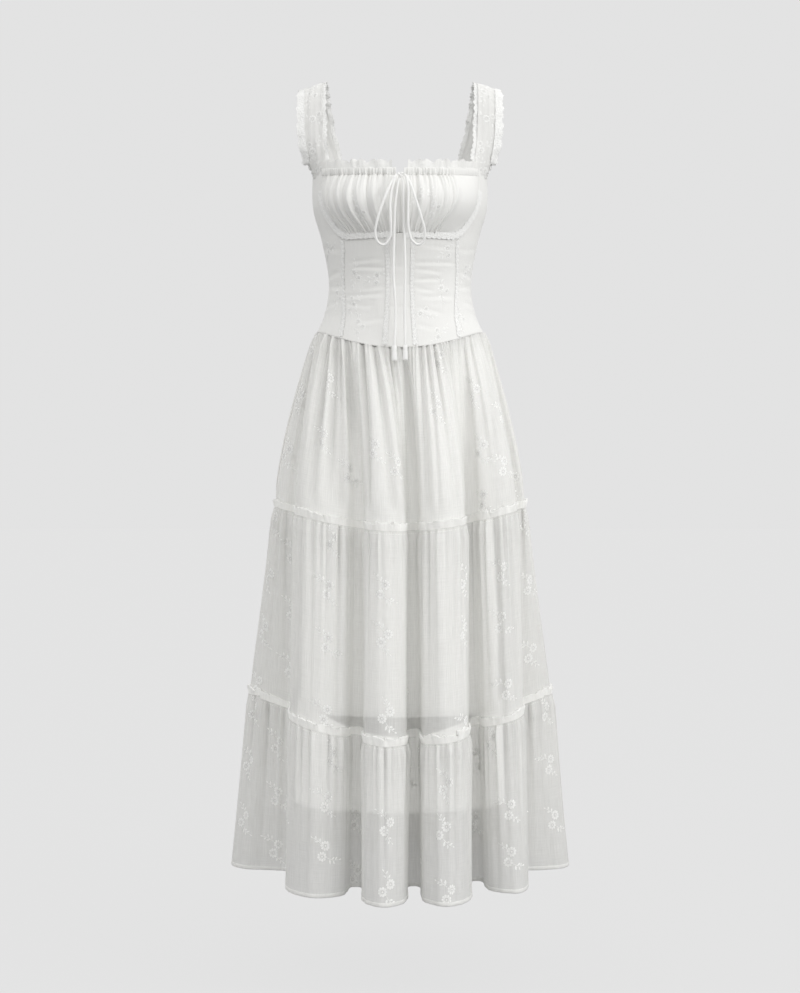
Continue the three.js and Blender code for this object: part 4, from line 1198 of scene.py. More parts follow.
def heading(which, half):
    """A frill that stands in front of the tier above: waves grow upwards, and the last rows roll outwards."""
    tier, level, seed = HEADINGS[which]
    across = steps(HEADING_COLUMNS[half])[None]
    rise = np.r_[np.ones(ROLL_ROWS), np.linspace(1, 0, RISE_ROWS)][:, None]
    roll = np.r_[np.linspace(1, 1 / ROLL_ROWS, ROLL_ROWS), np.zeros(RISE_ROWS)][:, None] * ROLL_TURN
    up = HEADING_FOOT + rise * HEADING_HEIGHT
    share, full_run = even_shares(level, half, across)
    run = across * full_run
    full = lerp(VALLEY_FULL, 1, np.cos(np.pi * share * len(FOLDS)) ** 2)
    ends = window(across, 0, 1, END_FADE)
    stray = CURL_STRAY * np.sin(run / CURL_PACE + seed)
    curl = rise * CURL * full * ends * np.sin(TURN * run / CURL_PITCH + stray)
    place, down = np.broadcast_arrays(across + curl / full_run, 1 - up / TIER_HEIGHT[tier])
    base = TIER_FORM[tier](half, place, down)
    waves = gathers(run, 0 * rise, HEADING_WAVES, seed + len(half))
    swing = lerp(FOOT_SWING, 1, rise) * full * (STAND_OUT + waves)
    uneven = rise * full * gathers(run, 0 * rise, EDGE_WAVES, seed + 5)
    out = HEADING_OUT + rise + swing + ROLL * (1 - np.cos(roll))
    grid = raised(base, np.maximum(out, LEAST_OUT))
    grid[..., 2] += uneven + ROLL * np.sin(roll)
    return grid


for which in HEADINGS:
    for half in HALVES:
        grid = heading(which, half)
        piece = cloth(f"{which}_heading_frill_{half}", grid, HEADING, rolled=(ROLL_ROWS, THREAD))
        dress_piece(piece, "cotton", f"{which}_heading_{half}")


# %% The turned hem
HEM_WIDTH = 6
HEM_PROFILE = np.array([  # height above the edge, distance out
    (HEM_WIDTH, 0.1), (HEM_WIDTH - 0.4, 0.5), (3, 0.6), (0.8, 0.5), (0, 0.1), (0.6, -0.4)])


def hem_band(half):
    """The hem's profile, height above the edge and distance out, carried along the hem."""
    tier = GRIDS[f"hem_tier_shell_{half}"]
    normal = normals_of(tier)[-1]
    edge = tier[-1]
    rise = unit(tier[-4] - tier[-1])
    up, out = HEM_PROFILE[:, 0, None, None], HEM_PROFILE[:, 1, None, None]
    return edge[None] + rise[None] * up + normal[None] * out


for half in HALVES:
    dress_piece(cloth(f"hem_band_{half}", hem_band(half), HEM_CLOTH), "cotton")
print("headings and hem made")

# %% [markdown]
# ## Slip and underlay
# Under the sheer skirt hangs a plain slip, and under the last tier a short underlay. Only their lower
# edges show through, as a step in brightness, so they are plain tubes with slow waves and a turned hem.

# %% Slip and underlay
SLIP = np.array([(-396, 124, 95, 100), (-450, 136, 98, 106), (-540, 147, 99, 110), (-690, 155, 99, 111),
                 (-998, 158, 101, 112)], float)
UNDERLAY = np.array([(-976, 164, 105, 117), (-1145, 168, 108, 119)], float)
SLIP_CLEAR, LINING_WALL = 2, 0.5
SWAY, FINE_SWAY = (1.6, 7), (0.9, 13)  # height, and waves in a full turn
TURN_UP, TURNED_OUT = 12, 0.4  # the lining's hem


def lower_z(angle):
    """Height of the lower seam."""
    return dipped(LOWER["z"], LOWER["dip"], angle)


def tube_panel(table, top, half, rows):
    """Half of a hanging tube, with slow waves that grow towards its hem."""
    across, down = spread(90, rows)
    angle = lerp(*HALF_ANGLES[half], across)
    foot = table[-1, 0]
    z = lerp(top(angle) - SLIP_CLEAR, foot, down)
    turn = np.radians(angle)
    sway = down * (SWAY[0] * np.cos(turn * SWAY[1]) + FINE_SWAY[0] * np.cos(turn * FINE_SWAY[1] + 1))
    fold = TURNED_OUT * ease(z, foot + TURN_UP + 1, foot + TURN_UP)
    return ring_point(table, angle, z, sway - TURNED_OUT + fold)


for half in HALVES:
    for base, table, top, rows in (("slip", SLIP, hip_z, 32), ("underlay", UNDERLAY, lower_z, 16)):
        # the lining's inner side takes the darker cotton: painted shade
        piece = cloth(f"{base}_shell_{half}", tube_panel(table, top, half, rows), LINING, LINING_WALL, SHADED_INSIDE)
        dress_piece(piece, "lining", f"{base}_{half}")
print("slip and underlay made")

# %% [markdown]
# ## Straps
# A strap is a band carried along a line over the shoulder. The line and the way its width runs are
# two curves through the same few places, so the band can turn as it goes over.

# %% Straps
STRAP_ROUTE = np.array([  # middle of the right strap from its front foot, and the way its width runs
    (128.5, -39, -153, 0.54, 0.93, 0), (131, -42, -127, 0.85, 0.64, 0), (136, -39, -88, 0.97, 0.2, -0.1),
    (138, -29, -33, 0.96, 0.06, -0.26), (137.8, -16, -8, 0.95, 0.03, -0.32), (137, 0, 0, 0.94, 0, -0.34),
    (135.2, 16, -8, 0.945, -0.07, -0.28), (132, 29, -31, 0.95, -0.15, -0.2),
    (119, 46, -84, 0.86, -0.5, 0), (104, 56, -126, 0.73, -0.68, 0)], float)
STRAP_HALF = 15
FINE_STEP = 0.002
RIPPLE, RIPPLE_PACE, RIPPLE_STRAY, RIPPLE_RUN = 0.3, 2.9, 0.8, 21
SLANT_RIPPLE, SLANT_PACE, SLANT_RUN = 0.25, 1.6, 31
STRAP_PUCKER, STRAP_PUCKER_PACE, PUCKER_STRAY, PUCKER_RUN, PUCKER_REACH = 0.45, 2.7, 1.6, 17, 5


def route_length(route):
    """Length of the curve through a route's points."""
    return float(lengths_along(catmull_rom(route[:, :3], steps(400)), 0)[-1])


def beside(route, along, offset, lift):
    """A point beside a route: along its curve, out by an offset, and lifted off the face between the two."""
    middle, out = catmull_rom(route[:, :3], along), catmull_rom(route[:, 3:], along)
    ahead, behind = (catmull_rom(route[:, :3], np.clip(along + d, 0, 1)) for d in (FINE_STEP, -FINE_STEP))
    face = unit(np.cross(out, ahead - behind))
    return middle + out * offset[..., None] + face * lift[..., None]


def strap(word):
    """The band: slow ripples run along it, and fine puckers stand at its sewn edges."""
    across, down = spread(30, 170)
    offset, along = np.broadcast_arrays(lerp(-STRAP_HALF, STRAP_HALF, across), 1 - down)
    run = along * STRAP_LENGTH
    ripple = RIPPLE * np.cos(offset / RIPPLE_PACE + RIPPLE_STRAY * np.sin(run / RIPPLE_RUN))
    ripple = ripple + SLANT_RIPPLE * np.cos(offset / SLANT_PACE + run / SLANT_RUN)
    puckers = STRAP_PUCKER * np.cos(run / STRAP_PUCKER_PACE + PUCKER_STRAY * np.sin(run / PUCKER_RUN))
    puckers = puckers * hollow(np.abs(offset), STRAP_HALF, PUCKER_REACH)
    return facing(beside(STRAP_ROUTE, along, offset, ripple + puckers), word)


STRAP_LENGTH = route_length(STRAP_ROUTE)
for word in SIDES:
    thick_piece(f"strap_band_{word}", strap(word), f"strap_{word}", STRAP_CLOTH)
print("straps", round(STRAP_LENGTH), "mm long")

# %% [markdown]
# ## Stitchery
# Embroidery and lace are built from two small raised shapes: a petal, which is a low dome of a few
# faces, and a strand, which is a ridge along a line. They are laid out flat, in millimetres, and only
# then carried onto the cloth, so one motif serves every fold of the dress.

# %% Petals and strands
DOME_SIDES, DOME_SUNK, STRAND_SUNK = 8, 0.2, 0.1  # the feet are sunk into the cloth


def petals(centres, turn, length, width, height, pointed=False):
    """Low domes at the centres: a rim and a top; a pointed rim squares its sideways part."""
    rim = TURN * np.arange(DOME_SIDES) / DOME_SIDES
    x, y = np.cos(rim), np.sin(rim)
    y = y * np.abs(y) if pointed else y
    local = np.concatenate([np.c_[x, y, 0 * x - DOME_SUNK], [[0, 0, 1]]])
    centres = np.atleast_2d(centres)
    count = len(centres)
    sizes = [np.broadcast_to(size, (count,))[:, None] for size in (length, width, height)]
    along, over, high = (local[:, k] * size for k, size in enumerate(sizes))
    turn = np.broadcast_to(turn, (count,))[:, None]
    points = np.stack([centres[:, :1] + along * np.cos(turn) - over * np.sin(turn),
                       centres[:, 1:] + along * np.sin(turn) + over * np.cos(turn), high], -1)
    k = np.arange(DOME_SIDES)
    one = np.c_[k, np.roll(k, -1), np.full(DOME_SIDES, DOME_SIDES)]
    faces = one[None] + (np.arange(count) * len(local))[:, None, None]
    return points.reshape(-1, 3), faces.reshape(-1, 3), np.stack([along, over], -1).reshape(-1, 2)


def strand(line, width, height):
    """A ridge along a flat line: two feet and a crest at each point."""
    ahead = unit(np.gradient(line, axis=0))
    side = np.c_[-ahead[:, 1], ahead[:, 0]] * width / 2
    high = np.full((len(line), 1), height)
    low = 0 * high - STRAND_SUNK
    points = np.stack([np.c_[line + side, low], np.c_[line, high], np.c_[line - side, low]], 1)
    run = lengths_along(line, 0)
    uv = np.stack(np.broadcast_arrays(run[:, None], np.array([-1, 0, 1.0])[None] * width / 2), -1)
    return points.reshape(-1, 3), grid_triangles(len(line), 3), uv.reshape(-1, 2)


def joined(parts):
    """Several shapes as one: points, faces and maps, with the faces counted on."""
    starts = np.cumsum([0] + [len(p[0]) for p in parts[:-1]])
    faces = np.concatenate([p[1] + start for p, start in zip(parts, starts)])
    return np.concatenate([p[0] for p in parts]), faces, np.concatenate([p[2] for p in parts])


# %% Flowers and sprigs
PETALS, FLOWER_RADIUS, RING_RADIUS, EYELET_RADIUS, BOSS_RADIUS = 9, 5.7, 3.6, 3.5, 1.7
PETAL_LENGTH, PETAL_WIDTH, PETAL_HEIGHT = 2.5, 2.35, 0.55
STEM_HEIGHT, EYELET_HEIGHT, LEAF_HEIGHT, LEAF_TURN, LEAF_SHAPE = 0.4, 0.12, 0.5, 0.85, 0.48


def eyelet(x, y, size):
    """The open gap of a ring flower, where the cloth is cut away: a low disc in a darker finish, painted
    shade of the hole.
    """
    return petals([(x, y)], 0, EYELET_RADIUS * size, EYELET_RADIUS * size, EYELET_HEIGHT)


def flower(x, y, size, turn):
    """A ring flower: round petals in a ring, an open gap, and a boss in the middle."""
    angle = turn + TURN * np.arange(PETALS) / PETALS
    centres = np.c_[x + size * FLOWER_RADIUS * np.cos(angle), y + size * FLOWER_RADIUS * np.sin(angle)]
    round_it = TURN * steps(12)
    ring = np.c_[x + RING_RADIUS * size * np.cos(round_it), y + RING_RADIUS * size * np.sin(round_it)]
    return [petals(centres, angle, PETAL_LENGTH * size, PETAL_WIDTH * size, PETAL_HEIGHT),
            strand(ring, size, STEM_HEIGHT),
            petals([(x, y)], 0, BOSS_RADIUS * size, BOSS_RADIUS * size, PETAL_HEIGHT)]


def sprig(start, way, bend, length, leaves, size):
    """A curved stem with pointed leaves on alternate sides and one at its end."""
    share = steps(6)
    angle = way + bend * share
    line = np.array(start) + np.cumsum(np.c_[np.cos(angle), np.sin(angle)] * length / 7, axis=0)
    at = np.linspace(1, 6, leaves).astype(int)
    hand = np.where(np.arange(leaves) % 2, 1, -1)
    hand[-1] = 0
    turn = angle[at] + hand * LEAF_TURN
    grow = np.linspace(1.05, 0.8, leaves) * size
    centres = line[at] + np.c_[np.cos(turn), np.sin(turn)] * (grow * 1.05)[:, None]
    return [strand(line, 0.9, STEM_HEIGHT),
            petals(centres, turn, grow, LEAF_SHAPE * grow, LEAF_HEIGHT, pointed=True)]


# %% The two sprays
def spray(flowers, sprigs):
    """Flowers and sprigs as one shape, whose first faces are the eyelets of the flowers: discs that take the
    painted shade.
    """
    parts = [eyelet(x, y, size) for x, y, size, _ in flowers]
    parts += [part for row in flowers for part in flower(*row)]
    return joined(parts + [part for row in sprigs for part in sprig(*row)])


SPRAY = spray(flowers=[(4.6, 6.6, 1.0, 0.0), (-4.8, -7.2, 0.95, 0.3)],
              sprigs=[((1, -9), -0.9, 0.7, 22, 5, 4.2), ((0, 9), 2.0, 0.5, 16, 4, 3.6)])
SMALL_SPRAY = spray(flowers=[(0, 5, 0.8, 0.0), (6.5, -4.5, 0.65, 0.2)],
                    sprigs=[((-1, -1), -2.2, 0.6, 18, 4, 3.8), ((2, 10), 1.1, 0.6, 13, 3, 3.4)])
EYELET_FACES = 2 * DOME_SIDES  # of the two flowers in a spray
SMALL_SPRAY_LIFT = 1.6
SMALL_SPRAY[0][:, 2] *= SMALL_SPRAY_LIFT
print("spray:", len(SPRAY[1]), "faces; small spray:", len(SMALL_SPRAY[1]))

# %% [markdown]
# ## Laying embroidery on the cloth
# A motif has a middle on the cloth and a turn. Its flat points are read off the grid of the cloth,
# between the grid's own points, and lifted along the normal. On the front, the middles follow the
# picture: a named pixel is turned into the nearest point of the cloth that faces the camera. Elsewhere
# the sprays keep the cloth's own half-drop repeat.


# %% Laying tools
def read_grid(grid, row, column):
    """Values of a grid between its points."""
    row = np.clip(row, 0, grid.shape[0] - 1.001)
    column = np.clip(column, 0, grid.shape[1] - 1.001)
    r, c = row.astype(int), column.astype(int)
    fr, fc = (row - r)[:, None], (column - c)[:, None]
    upper = lerp(grid[r, c], grid[r, c + 1], fc)
    lower = lerp(grid[r + 1, c], grid[r + 1, c + 1], fc)
    return lerp(upper, lower, fr)


def laying_ground(cloth_name):
    """A cloth's grid, its normals, and the runs along its rows and columns."""
    grid = GRIDS[cloth_name]
    return grid, normals_of(grid), (lengths_along(grid, 1), lengths_along(grid, 0))


def lay(shape, ground, row, column, turn):
    """A flat shape on a cloth: across follows the length of its row, up follows its column."""
    flat, faces, uv = shape
    grid, normal, runs = ground
    c, s = np.cos(turn), np.sin(turn)
    across, up = flat[:, 0] * c - flat[:, 1] * s, flat[:, 0] * s + flat[:, 1] * c
    row_run, column_run = runs[0][row], runs[1][:, column]
    columns = np.interp(row_run[column] + across, row_run, np.arange(len(row_run)))
    rows = np.interp(column_run[row] - up, column_run, np.arange(len(column_run)))
    points = read_grid(grid, rows, columns) + read_grid(normal, rows, columns) * flat[:, 2:]
    return points, faces, uv


# %% Embroidered pieces
def embroider(name, cloth_name, places, shape):
    """One joined piece of embroidery for a piece of cloth; places are rows, columns and turns."""
    ground = laying_ground(cloth_name)
    points, faces, uv = joined([lay(shape, ground, *place) for place in places])
    # the eyelet faces take the darker finish: painted shade in the holes
    finish_of = np.arange(len(faces)) % len(shape[1]) < EYELET_FACES
    piece = fill_mesh(name, points, faces, uv * MM, [THREAD, PAINTED_EYELET_SHADE], finish_of)
    return dress_piece(piece, "lace")


PIXEL_SLACK = 1.5


def seen_at(grid, pixel):
    """Row and column of the grid's point that is nearest to the camera at a pixel."""
    column, row, depth = to_pixels(grid)
    apart = np.hypot(column - pixel[0], row - pixel[1])
    score = np.where(apart < apart.min() + PIXEL_SLACK, depth, np.inf)
    return np.unravel_index(np.argmin(score), score.shape)


# %% Running stitches
STITCH, STITCH_GAP = (1.3, 0.35, 0.4), 4.0  # half length, half width and height of a stitch; one to the gap


def stitch_row(name, cloth_name, row):
    """A row of running stitches along one row of a cloth's grid, laid like a motif that starts at its end."""
    ground = laying_ground(cloth_name)
    at = np.arange(STITCH_GAP, ground[2][0][row, -1], STITCH_GAP)
    points, faces, uv = lay(petals(np.c_[at, 0 * at], 0, *STITCH), ground, row, 0, 0)
    return dress_piece(fill_mesh(name, points, faces, uv * MM, [THREAD]), "lace")


SEWN_ROWS = {"hem_band": 1, "middle_tier_shell": 1, "hem_tier_shell": 1}  # rows of each grid
CASING_ROW = 10
for base, row in SEWN_ROWS.items():
    for half in HALVES:
        stitch_row(f"{base}_stitches_{half}", f"{base}_{half}", row)
for word in SIDES:
    stitch_row(f"casing_stitches_{word}", f"casing_band_{word}", CASING_ROW)
print("stitched rows:", len(SEWN_ROWS) * len(HALVES) + len(SIDES))

# %% Sprays on the skirt
SPRAY_PIXELS = {  # where sprays show in the picture: column and row of the middle
    TOP: [(329, 381), (320, 437), (351, 472), (373, 447), (398, 466), (437, 359), (437, 405), (473, 391),
          (479, 449), (503, 415), (506, 466), (481, 499)],
    MIDDLE: [(332, 540), (328, 590), (327, 642), (325, 714), (381, 590), (384, 638), (388, 714), (467, 580),
             (465, 631), (501, 571), (500, 622), (506, 688), (531, 585), (533, 654)],
    BOTTOM: [(332, 756), (328, 802), (325, 851), (355, 818), (357, 873), (388, 825), (389, 889), (445, 787),
             (442, 829), (450, 894), (475, 821), (509, 810), (509, 855)],
}
REPEAT_ACROSS, REPEAT_DOWN, SPRAY_CLEAR = 66, 88, 92  # half-drop repeat of the cloth, and the least gap
EDGE_CLEAR = 20
REPEAT_STRAY, PIXEL_STRAY = 0.25, 0.3  # how far the turn of a spray strays, in radians


def half_drop(grid, taken):
    """Places of the repeat on a grid, leaving out those near a place already taken."""
    run = lengths_along(grid, 1)[-1]
    fall = lengths_along(grid, 0)[:, 0]
    places = []
    for n, x in enumerate(np.arange(REPEAT_ACROSS / 2, run[-1] - EDGE_CLEAR, REPEAT_ACROSS)):
        first = EDGE_CLEAR + (n % 2) * REPEAT_DOWN / 2
        for k, y in enumerate(np.arange(first, fall[-1] - EDGE_CLEAR, REPEAT_DOWN)):
            column, row = int(np.searchsorted(run, x)), int(np.searchsorted(fall, y))
            gaps = [np.linalg.norm(grid[row, column] - grid[r, c]) for r, c, _ in taken]
            if min(gaps, default=1e9) > SPRAY_CLEAR:
                places.append((row, column, np.pi * ((n + k) % 2) + REPEAT_STRAY * math.sin(3 * n + 5 * k)))
    return places


spray_count = 0
for tier, half in TIER_SIZE:
    name = f"{tier}_tier_shell_{half}"
    taken = []
    if half == "front":
        for n, pixel in enumerate(SPRAY_PIXELS[tier]):
            row, column = seen_at(GRIDS[name], pixel)
            taken.append((row, column, np.pi * (n % 2) + PIXEL_STRAY * math.sin(7 * n)))
    places = taken + half_drop(GRIDS[name], taken)
    spray_count += len(places)
    embroider(f"{tier}_tier_embroidery_{half}", name, places, SPRAY)
print("sprays on the skirt:", spray_count)

# %% Sprays on the bodice
BODICE_SPRAYS = {  # cloth: pixels of the middles, each with a turn
    "cup_shell_left": [(357, 212, 0.3)],
    "cup_shell_right": [(421, 193, 2.4), (436, 207, 0.6)],
    "bodice_front_left": [(374, 278, -0.7), (353, 276, 0.2), (353, 302, 2.9), (357, 324, 0.4)],
    "bodice_front_right": [(444, 290, 0.5), (448, 252, -0.4), (424, 312, 1.6), (440, 333, 2.6)],
    "bodice_side_left": [(336, 296, 0.2), (328, 250, 2.4)],
    "bodice_side_right": [(468, 272, 2.6), (462, 318, 0.4)],
}
for name, pixels in BODICE_SPRAYS.items():
    places = [(*seen_at(GRIDS[name], (x, y)), turn) for x, y, turn in pixels]
    embroider(f"{name}_embroidery", name, places, SMALL_SPRAY)
BACK_SPRAYS, TO_A_LINE, STRAP_SPRAYS = range(18), 6, range(9)
rows, columns = GRIDS["bodice_back"].shape[:2]
places = [(int(rows * (0.2 + 0.22 * (k // TO_A_LINE) + 0.11 * (k % 2))),
           int(columns * (0.1 + 0.16 * (k % TO_A_LINE))), 0.9 * k) for k in BACK_SPRAYS]
embroider("bodice_back_embroidery", "bodice_back", places, SMALL_SPRAY)
for word in SIDES:
    rows, columns = GRIDS[f"strap_band_{word}"].shape[:2]
    places = [(int(rows * (0.06 + 0.11 * k)), int(columns * (0.5 + 0.14 * (-1) ** k)), 1.3 * k)
              for k in STRAP_SPRAYS]
    embroider(f"strap_band_{word}_embroidery", f"strap_band_{word}", places, SMALL_SPRAY)
print("sprays on the bodice:", sum(map(len, BODICE_SPRAYS.values())) + len(BACK_SPRAYS))

# %% [markdown]
# ## Lace
# Lace edging covers the seams of the front and both edges of the straps. A strip of net gives its
# ground, with scalloped edges, and raised stitchery repeats along it: a small flower, and a row of
# stitches on the scallops. The strip is made flat and then carried along its seam.


# %% A strip of lace
LACE_PETALS, PETAL_OUT = 5, 0.52  # petals of a flower, and their distance out
LACE_PETAL, LACE_PETAL_HEIGHT, LACE_BOSS, LACE_BOSS_HEIGHT = (0.4, 0.3), 0.7, 0.22, 0.8
EDGE_STITCHES, LACE_STITCH, STITCH_TURN, STITCH_IN = 4, (0.55, 0.6), 0.6, 0.4  # four to a scallop
STITCHES_LONG = 6.5  # half lengths of a stitch in one repeat
NET_STEPS, NET_LINES = 8, 7  # points along one repeat, and across the strip


def lace_strip(name, length, width, repeat, place, scallop=(1.6, 1.6)):
    """A strip of lace. Place turns flat points (along, across, height) into points of the dress."""
    count = max(2, round(length / repeat))
    repeat = length / count
    along, across = np.meshgrid(steps(count * NET_STEPS) * length, np.linspace(-0.5, 0.5, NET_LINES),
                                indexing="ij")
    wave = np.abs(np.sin(np.pi * along / repeat))
    grow = np.where(across > 0, scallop[1], scallop[0]) * wave
    reach = across * (width - sum(scallop)) + np.sign(across) * grow * np.abs(2 * across)
    ground = np.stack([along, reach, 0 * along], -1)
    net_faces = grid_triangles(*along.shape)
    net_part = ground.reshape(-1, 3), net_faces, np.stack([along, reach], -1).reshape(-1, 2)
    middles = (np.arange(count) + 0.5) * repeat
    size = width / 2 - max(scallop) * 0.6
    ring = TURN * np.arange(LACE_PETALS) / LACE_PETALS
    blossom = np.stack(np.broadcast_arrays(middles[:, None] + PETAL_OUT * size * np.cos(ring),
                                           PETAL_OUT * size * np.sin(ring)), -1)
    long, wide = (share * size for share in LACE_PETAL)
    parts = [petals(blossom.reshape(-1, 2), np.tile(ring, count), long, wide, LACE_PETAL_HEIGHT),
             petals(np.c_[middles, 0 * middles], 0, LACE_BOSS * size, LACE_BOSS * size, LACE_BOSS_HEIGHT)]
    order = np.arange(count * EDGE_STITCHES)
    edge = (order + 0.5) * repeat / EDGE_STITCHES
    for hand, depth in zip((-1, 1), scallop):
        lift = (width - sum(scallop)) / 2 + depth * np.abs(np.sin(np.pi * edge / repeat))
        turn = np.where(order % EDGE_STITCHES < EDGE_STITCHES / 2, STITCH_TURN, -STITCH_TURN) * hand
        spots = np.c_[edge, hand * (lift - STITCH_IN)]
        parts.append(petals(spots, turn, repeat / STITCHES_LONG, *LACE_STITCH))
    flat, faces, uv = joined([net_part] + parts)
    finish_of = (np.arange(len(faces)) >= len(net_faces)).astype(int)
    return fill_mesh(name, place(*flat.T), faces, uv * MM, [NET, THREAD], finish_of)


# %% Carrying lace along a seam or an edge
MM_PER_DEGREE = 2
RUFFLE_PITCH, RUFFLE_STRAY, RUFFLE_RUN, RUFFLE_LIFT = 24, 2.4, 19, 0.9
RUFFLE_BASE, RUFFLE_SWELL, RUFFLE_SWELL_RUN = 0.7, 0.5, 31
RUFFLE_UNEVEN, SECOND_SHARE, SECOND_PACE = 0.03, 0.7, 2.3  # its width varies by two waves


def along_bodice(side, route, out):
    """Turns flat lace into points over a seam: a curve of angle and height, and offsets square to it."""
    line = np.array([(angle * MM_PER_DEGREE, z) for angle, z in route], float)
    curve = catmull_rom(line, steps(600))
    run = lengths_along(curve, 0)
    ahead = unit(np.gradient(curve, axis=0))

    def place(along, across, height):
        at = np.stack([np.interp(along, run, curve[:, k]) for k in range(2)], -1)
        way = np.stack([np.interp(along, run, ahead[:, k]) for k in range(2)], -1)
        spot = at + across[:, None] * np.c_[way[:, 1], -way[:, 0]]
        return ring_point(BODICE, spot[:, 0] / MM_PER_DEGREE, spot[:, 1], out + height)

    def mirrored(along, across, height):
        return place(along, -across, height) * MIRROR

    return run[-1], place if side > 0 else mirrored


def along_edge(side, route, width, ruffle):
    """Turns flat lace into points beside an edge; the ruffle lifts its free side in waves."""
    length = route_length(route)

    def place(along, across, height):
        reach = across / width + 0.5
        turn = TURN * along / RUFFLE_PITCH + RUFFLE_STRAY * np.sin(along / RUFFLE_RUN)
        swell = RUFFLE_BASE + RUFFLE_SWELL * np.sin(along / RUFFLE_SWELL_RUN)
        wave = ruffle * reach * np.cos(turn) * swell
        uneven = 1 + RUFFLE_UNEVEN * ruffle * (np.sin(turn + 1) + SECOND_SHARE * np.sin(SECOND_PACE * turn))
        points = beside(route, along / length, reach * width * uneven, height + wave + RUFFLE_LIFT)
        return points * np.array([side, 1, 1])

    def mirrored(along, across, height):
        return place(length - along, across, height)

    return length, place if side > 0 else mirrored


# %% Lace on the seams
UNDERBUST_LACE = [(3, -251), (20, -251), (34, -251), (42.5, -250), (48.8, -243), (53.3, -232), (57.3, -219),
                  (60.3, -206), (62, -190), (62.5, -176)]
LACE_TOP, LACE_FOOT, LACE_CLEAR = -256, -400.0, 3


def seam_route(angle_at, rows):
    """From just above the hip seam up to the underbust lace, along a seam."""
    z = lerp(hip_z(angle_at(np.array(LACE_FOOT))) + LACE_CLEAR, LACE_TOP, steps(rows))
    return list(zip(np.broadcast_to(angle_at(z), z.shape), z))


LACES = {  # route, width, repeat, distance out
    "princess_lace": (seam_route(princess, 6), 8, 7.0, 0.7),
    "placket_lace": (seam_route(lambda z: 0 * z + PLACKET_ANGLE, 2), 7, 6.0, 0.7),
    "underbust_lace": (UNDERBUST_LACE, 12, 8.0, 2.2),
}
for word, side in SIDES.items():
    for kind, (route, width, repeat, out) in LACES.items():
        length, place = along_bodice(side, route, out)
        dress_piece(lace_strip(f"{kind}_trim_{word}", length, width, repeat, place), "lace", f"{kind}_{word}")

# %% Lace on the straps
ARMHOLE_EDGE = np.array([  # edge of the right armhole below the strap, and the way and fullness of its lace
    (138.2, -11, -146, 0.05, 0.01, 0), (138.6, -19, -139, 0.2, 0.06, 0),
    (139.2, -26, -133, 0.5, 0.25, 0)], float)
LACE_LAP = 2.2


def strap_edge(hand):
    """A strap's edge from its seam at the front to its back foot, with the way that its lace runs."""
    rows = np.concatenate([STRAP_ROUTE[:2].mean(0)[None], STRAP_ROUTE[1:]]) if hand < 0 else STRAP_ROUTE[1:]
    return np.c_[rows[:, :3] + hand * (STRAP_HALF - LACE_LAP) * rows[:, 3:], hand * rows[:, 3:]]


STRAP_LACES = {  # edge, width, repeat, ruffle, scallops of its sewn and free sides
    "outer": (np.concatenate([ARMHOLE_EDGE, strap_edge(1)]), 13.5, 8, 1.9, (0.4, 1.8)),
    "inner": (strap_edge(-1), 8.5, 6.5, 1.6, (0.4, 2.2)),
}
for word, side in SIDES.items():
    for kind, (edge, width, repeat, ruffle, scallop) in STRAP_LACES.items():
        length, place = along_edge(side, edge, width, ruffle)
        piece = lace_strip(f"strap_{kind}_trim_{word}", length, width, repeat, place, scallop)
        dress_piece(piece, "lace", f"strap_{kind}_lace_{word}")
print("lace strips:", (len(LACES) + len(STRAP_LACES)) * len(SIDES))

# %% [markdown]
# ## Floor and light
# The picture has an even pale ground and soft light from the front right. The sky and the floor show
# that same pale grey, so no edge can be seen between them. They light the dress from all sides, most
# from the front and least from below. A soft lamp at the right, level with the bodice, models the folds.

# %% Sky
PALE = 0.767  # brightness of sky and floor as seen
FRONT_FILL, BACK_FILL, FLOOR_FILL = 1.2, 0.85, 0.3  # brightness of the light that they give
FLOOR_Z, FLOOR_SIZE = -1.42, 40.0  # metres
FLOOR_ALBEDO, FLOOR_LIT = 0.06, 1.25  # its own colour, and the light that falls on it


def seen_or_lit(tree, fill):
    """A grey that is PALE where the camera looks straight at it, and the fill, a colour or socket, where it
    lights the dress or shows through sheer cloth."""
    path = add_node(tree, "LightPath", {})
    clear = compute(tree, "LESS_THAN", path.outputs["Transparent Depth"], 0.5)
    direct = compute(tree, "MULTIPLY", path.outputs["Is Camera Ray"], clear)
    return colour_mix(tree, direct, fill, grey(PALE))


world = bpy.data.worlds.new("pale_sky")
world.use_nodes = True
sky = world.node_tree
way = add_node(sky, "TexCoord", {}).outputs["Generated"]
parts = add_node(sky, "SeparateXYZ", {0: way})
ahead = ranged(sky, parts.outputs["Y"], (-1, 1), (FRONT_FILL, BACK_FILL))
feed(sky.nodes["Background"], {"Color": seen_or_lit(sky, ahead)})
bpy.context.scene.world = world

# %% Floor
floor_finish = bpy.data.materials.new("pale_floor")
floor_finish.use_nodes = True
floor_tree = floor_finish.node_tree
feed(floor_tree.nodes["Principled BSDF"], {
    "Base Color": grey(FLOOR_ALBEDO), "Roughness": 1, "Specular IOR Level": 0,
    "Emission Color": seen_or_lit(floor_tree, grey(FLOOR_FILL)),
    "Emission Strength": 1 - FLOOR_ALBEDO * FLOOR_LIT})
floor_mesh = bpy.data.meshes.new("floor")
corners = [(x * FLOOR_SIZE, y * FLOOR_SIZE, FLOOR_Z) for x, y in ((-1, -1), (1, -1), (1, 1), (-1, 1))]
floor_mesh.from_pydata(corners, [], [(0, 1, 2, 3)])
floor_mesh.materials.append(floor_finish)
floor = bpy.data.objects.new("floor", floor_mesh)
bpy.context.scene.collection.objects.link(floor)


# %% Lamp
def soft_lamp(name, place, target, size, power):
    """A square lamp aimed at a point."""
    data = bpy.data.lights.new(name, "AREA")
    data.size = size
    data.energy = power
    lamp = bpy.data.objects.new(name, data)
    lamp.location = place
    lamp.rotation_euler = (Vector(target) - Vector(place)).to_track_quat("-Z", "Y").to_euler()
    bpy.context.scene.collection.objects.link(lamp)


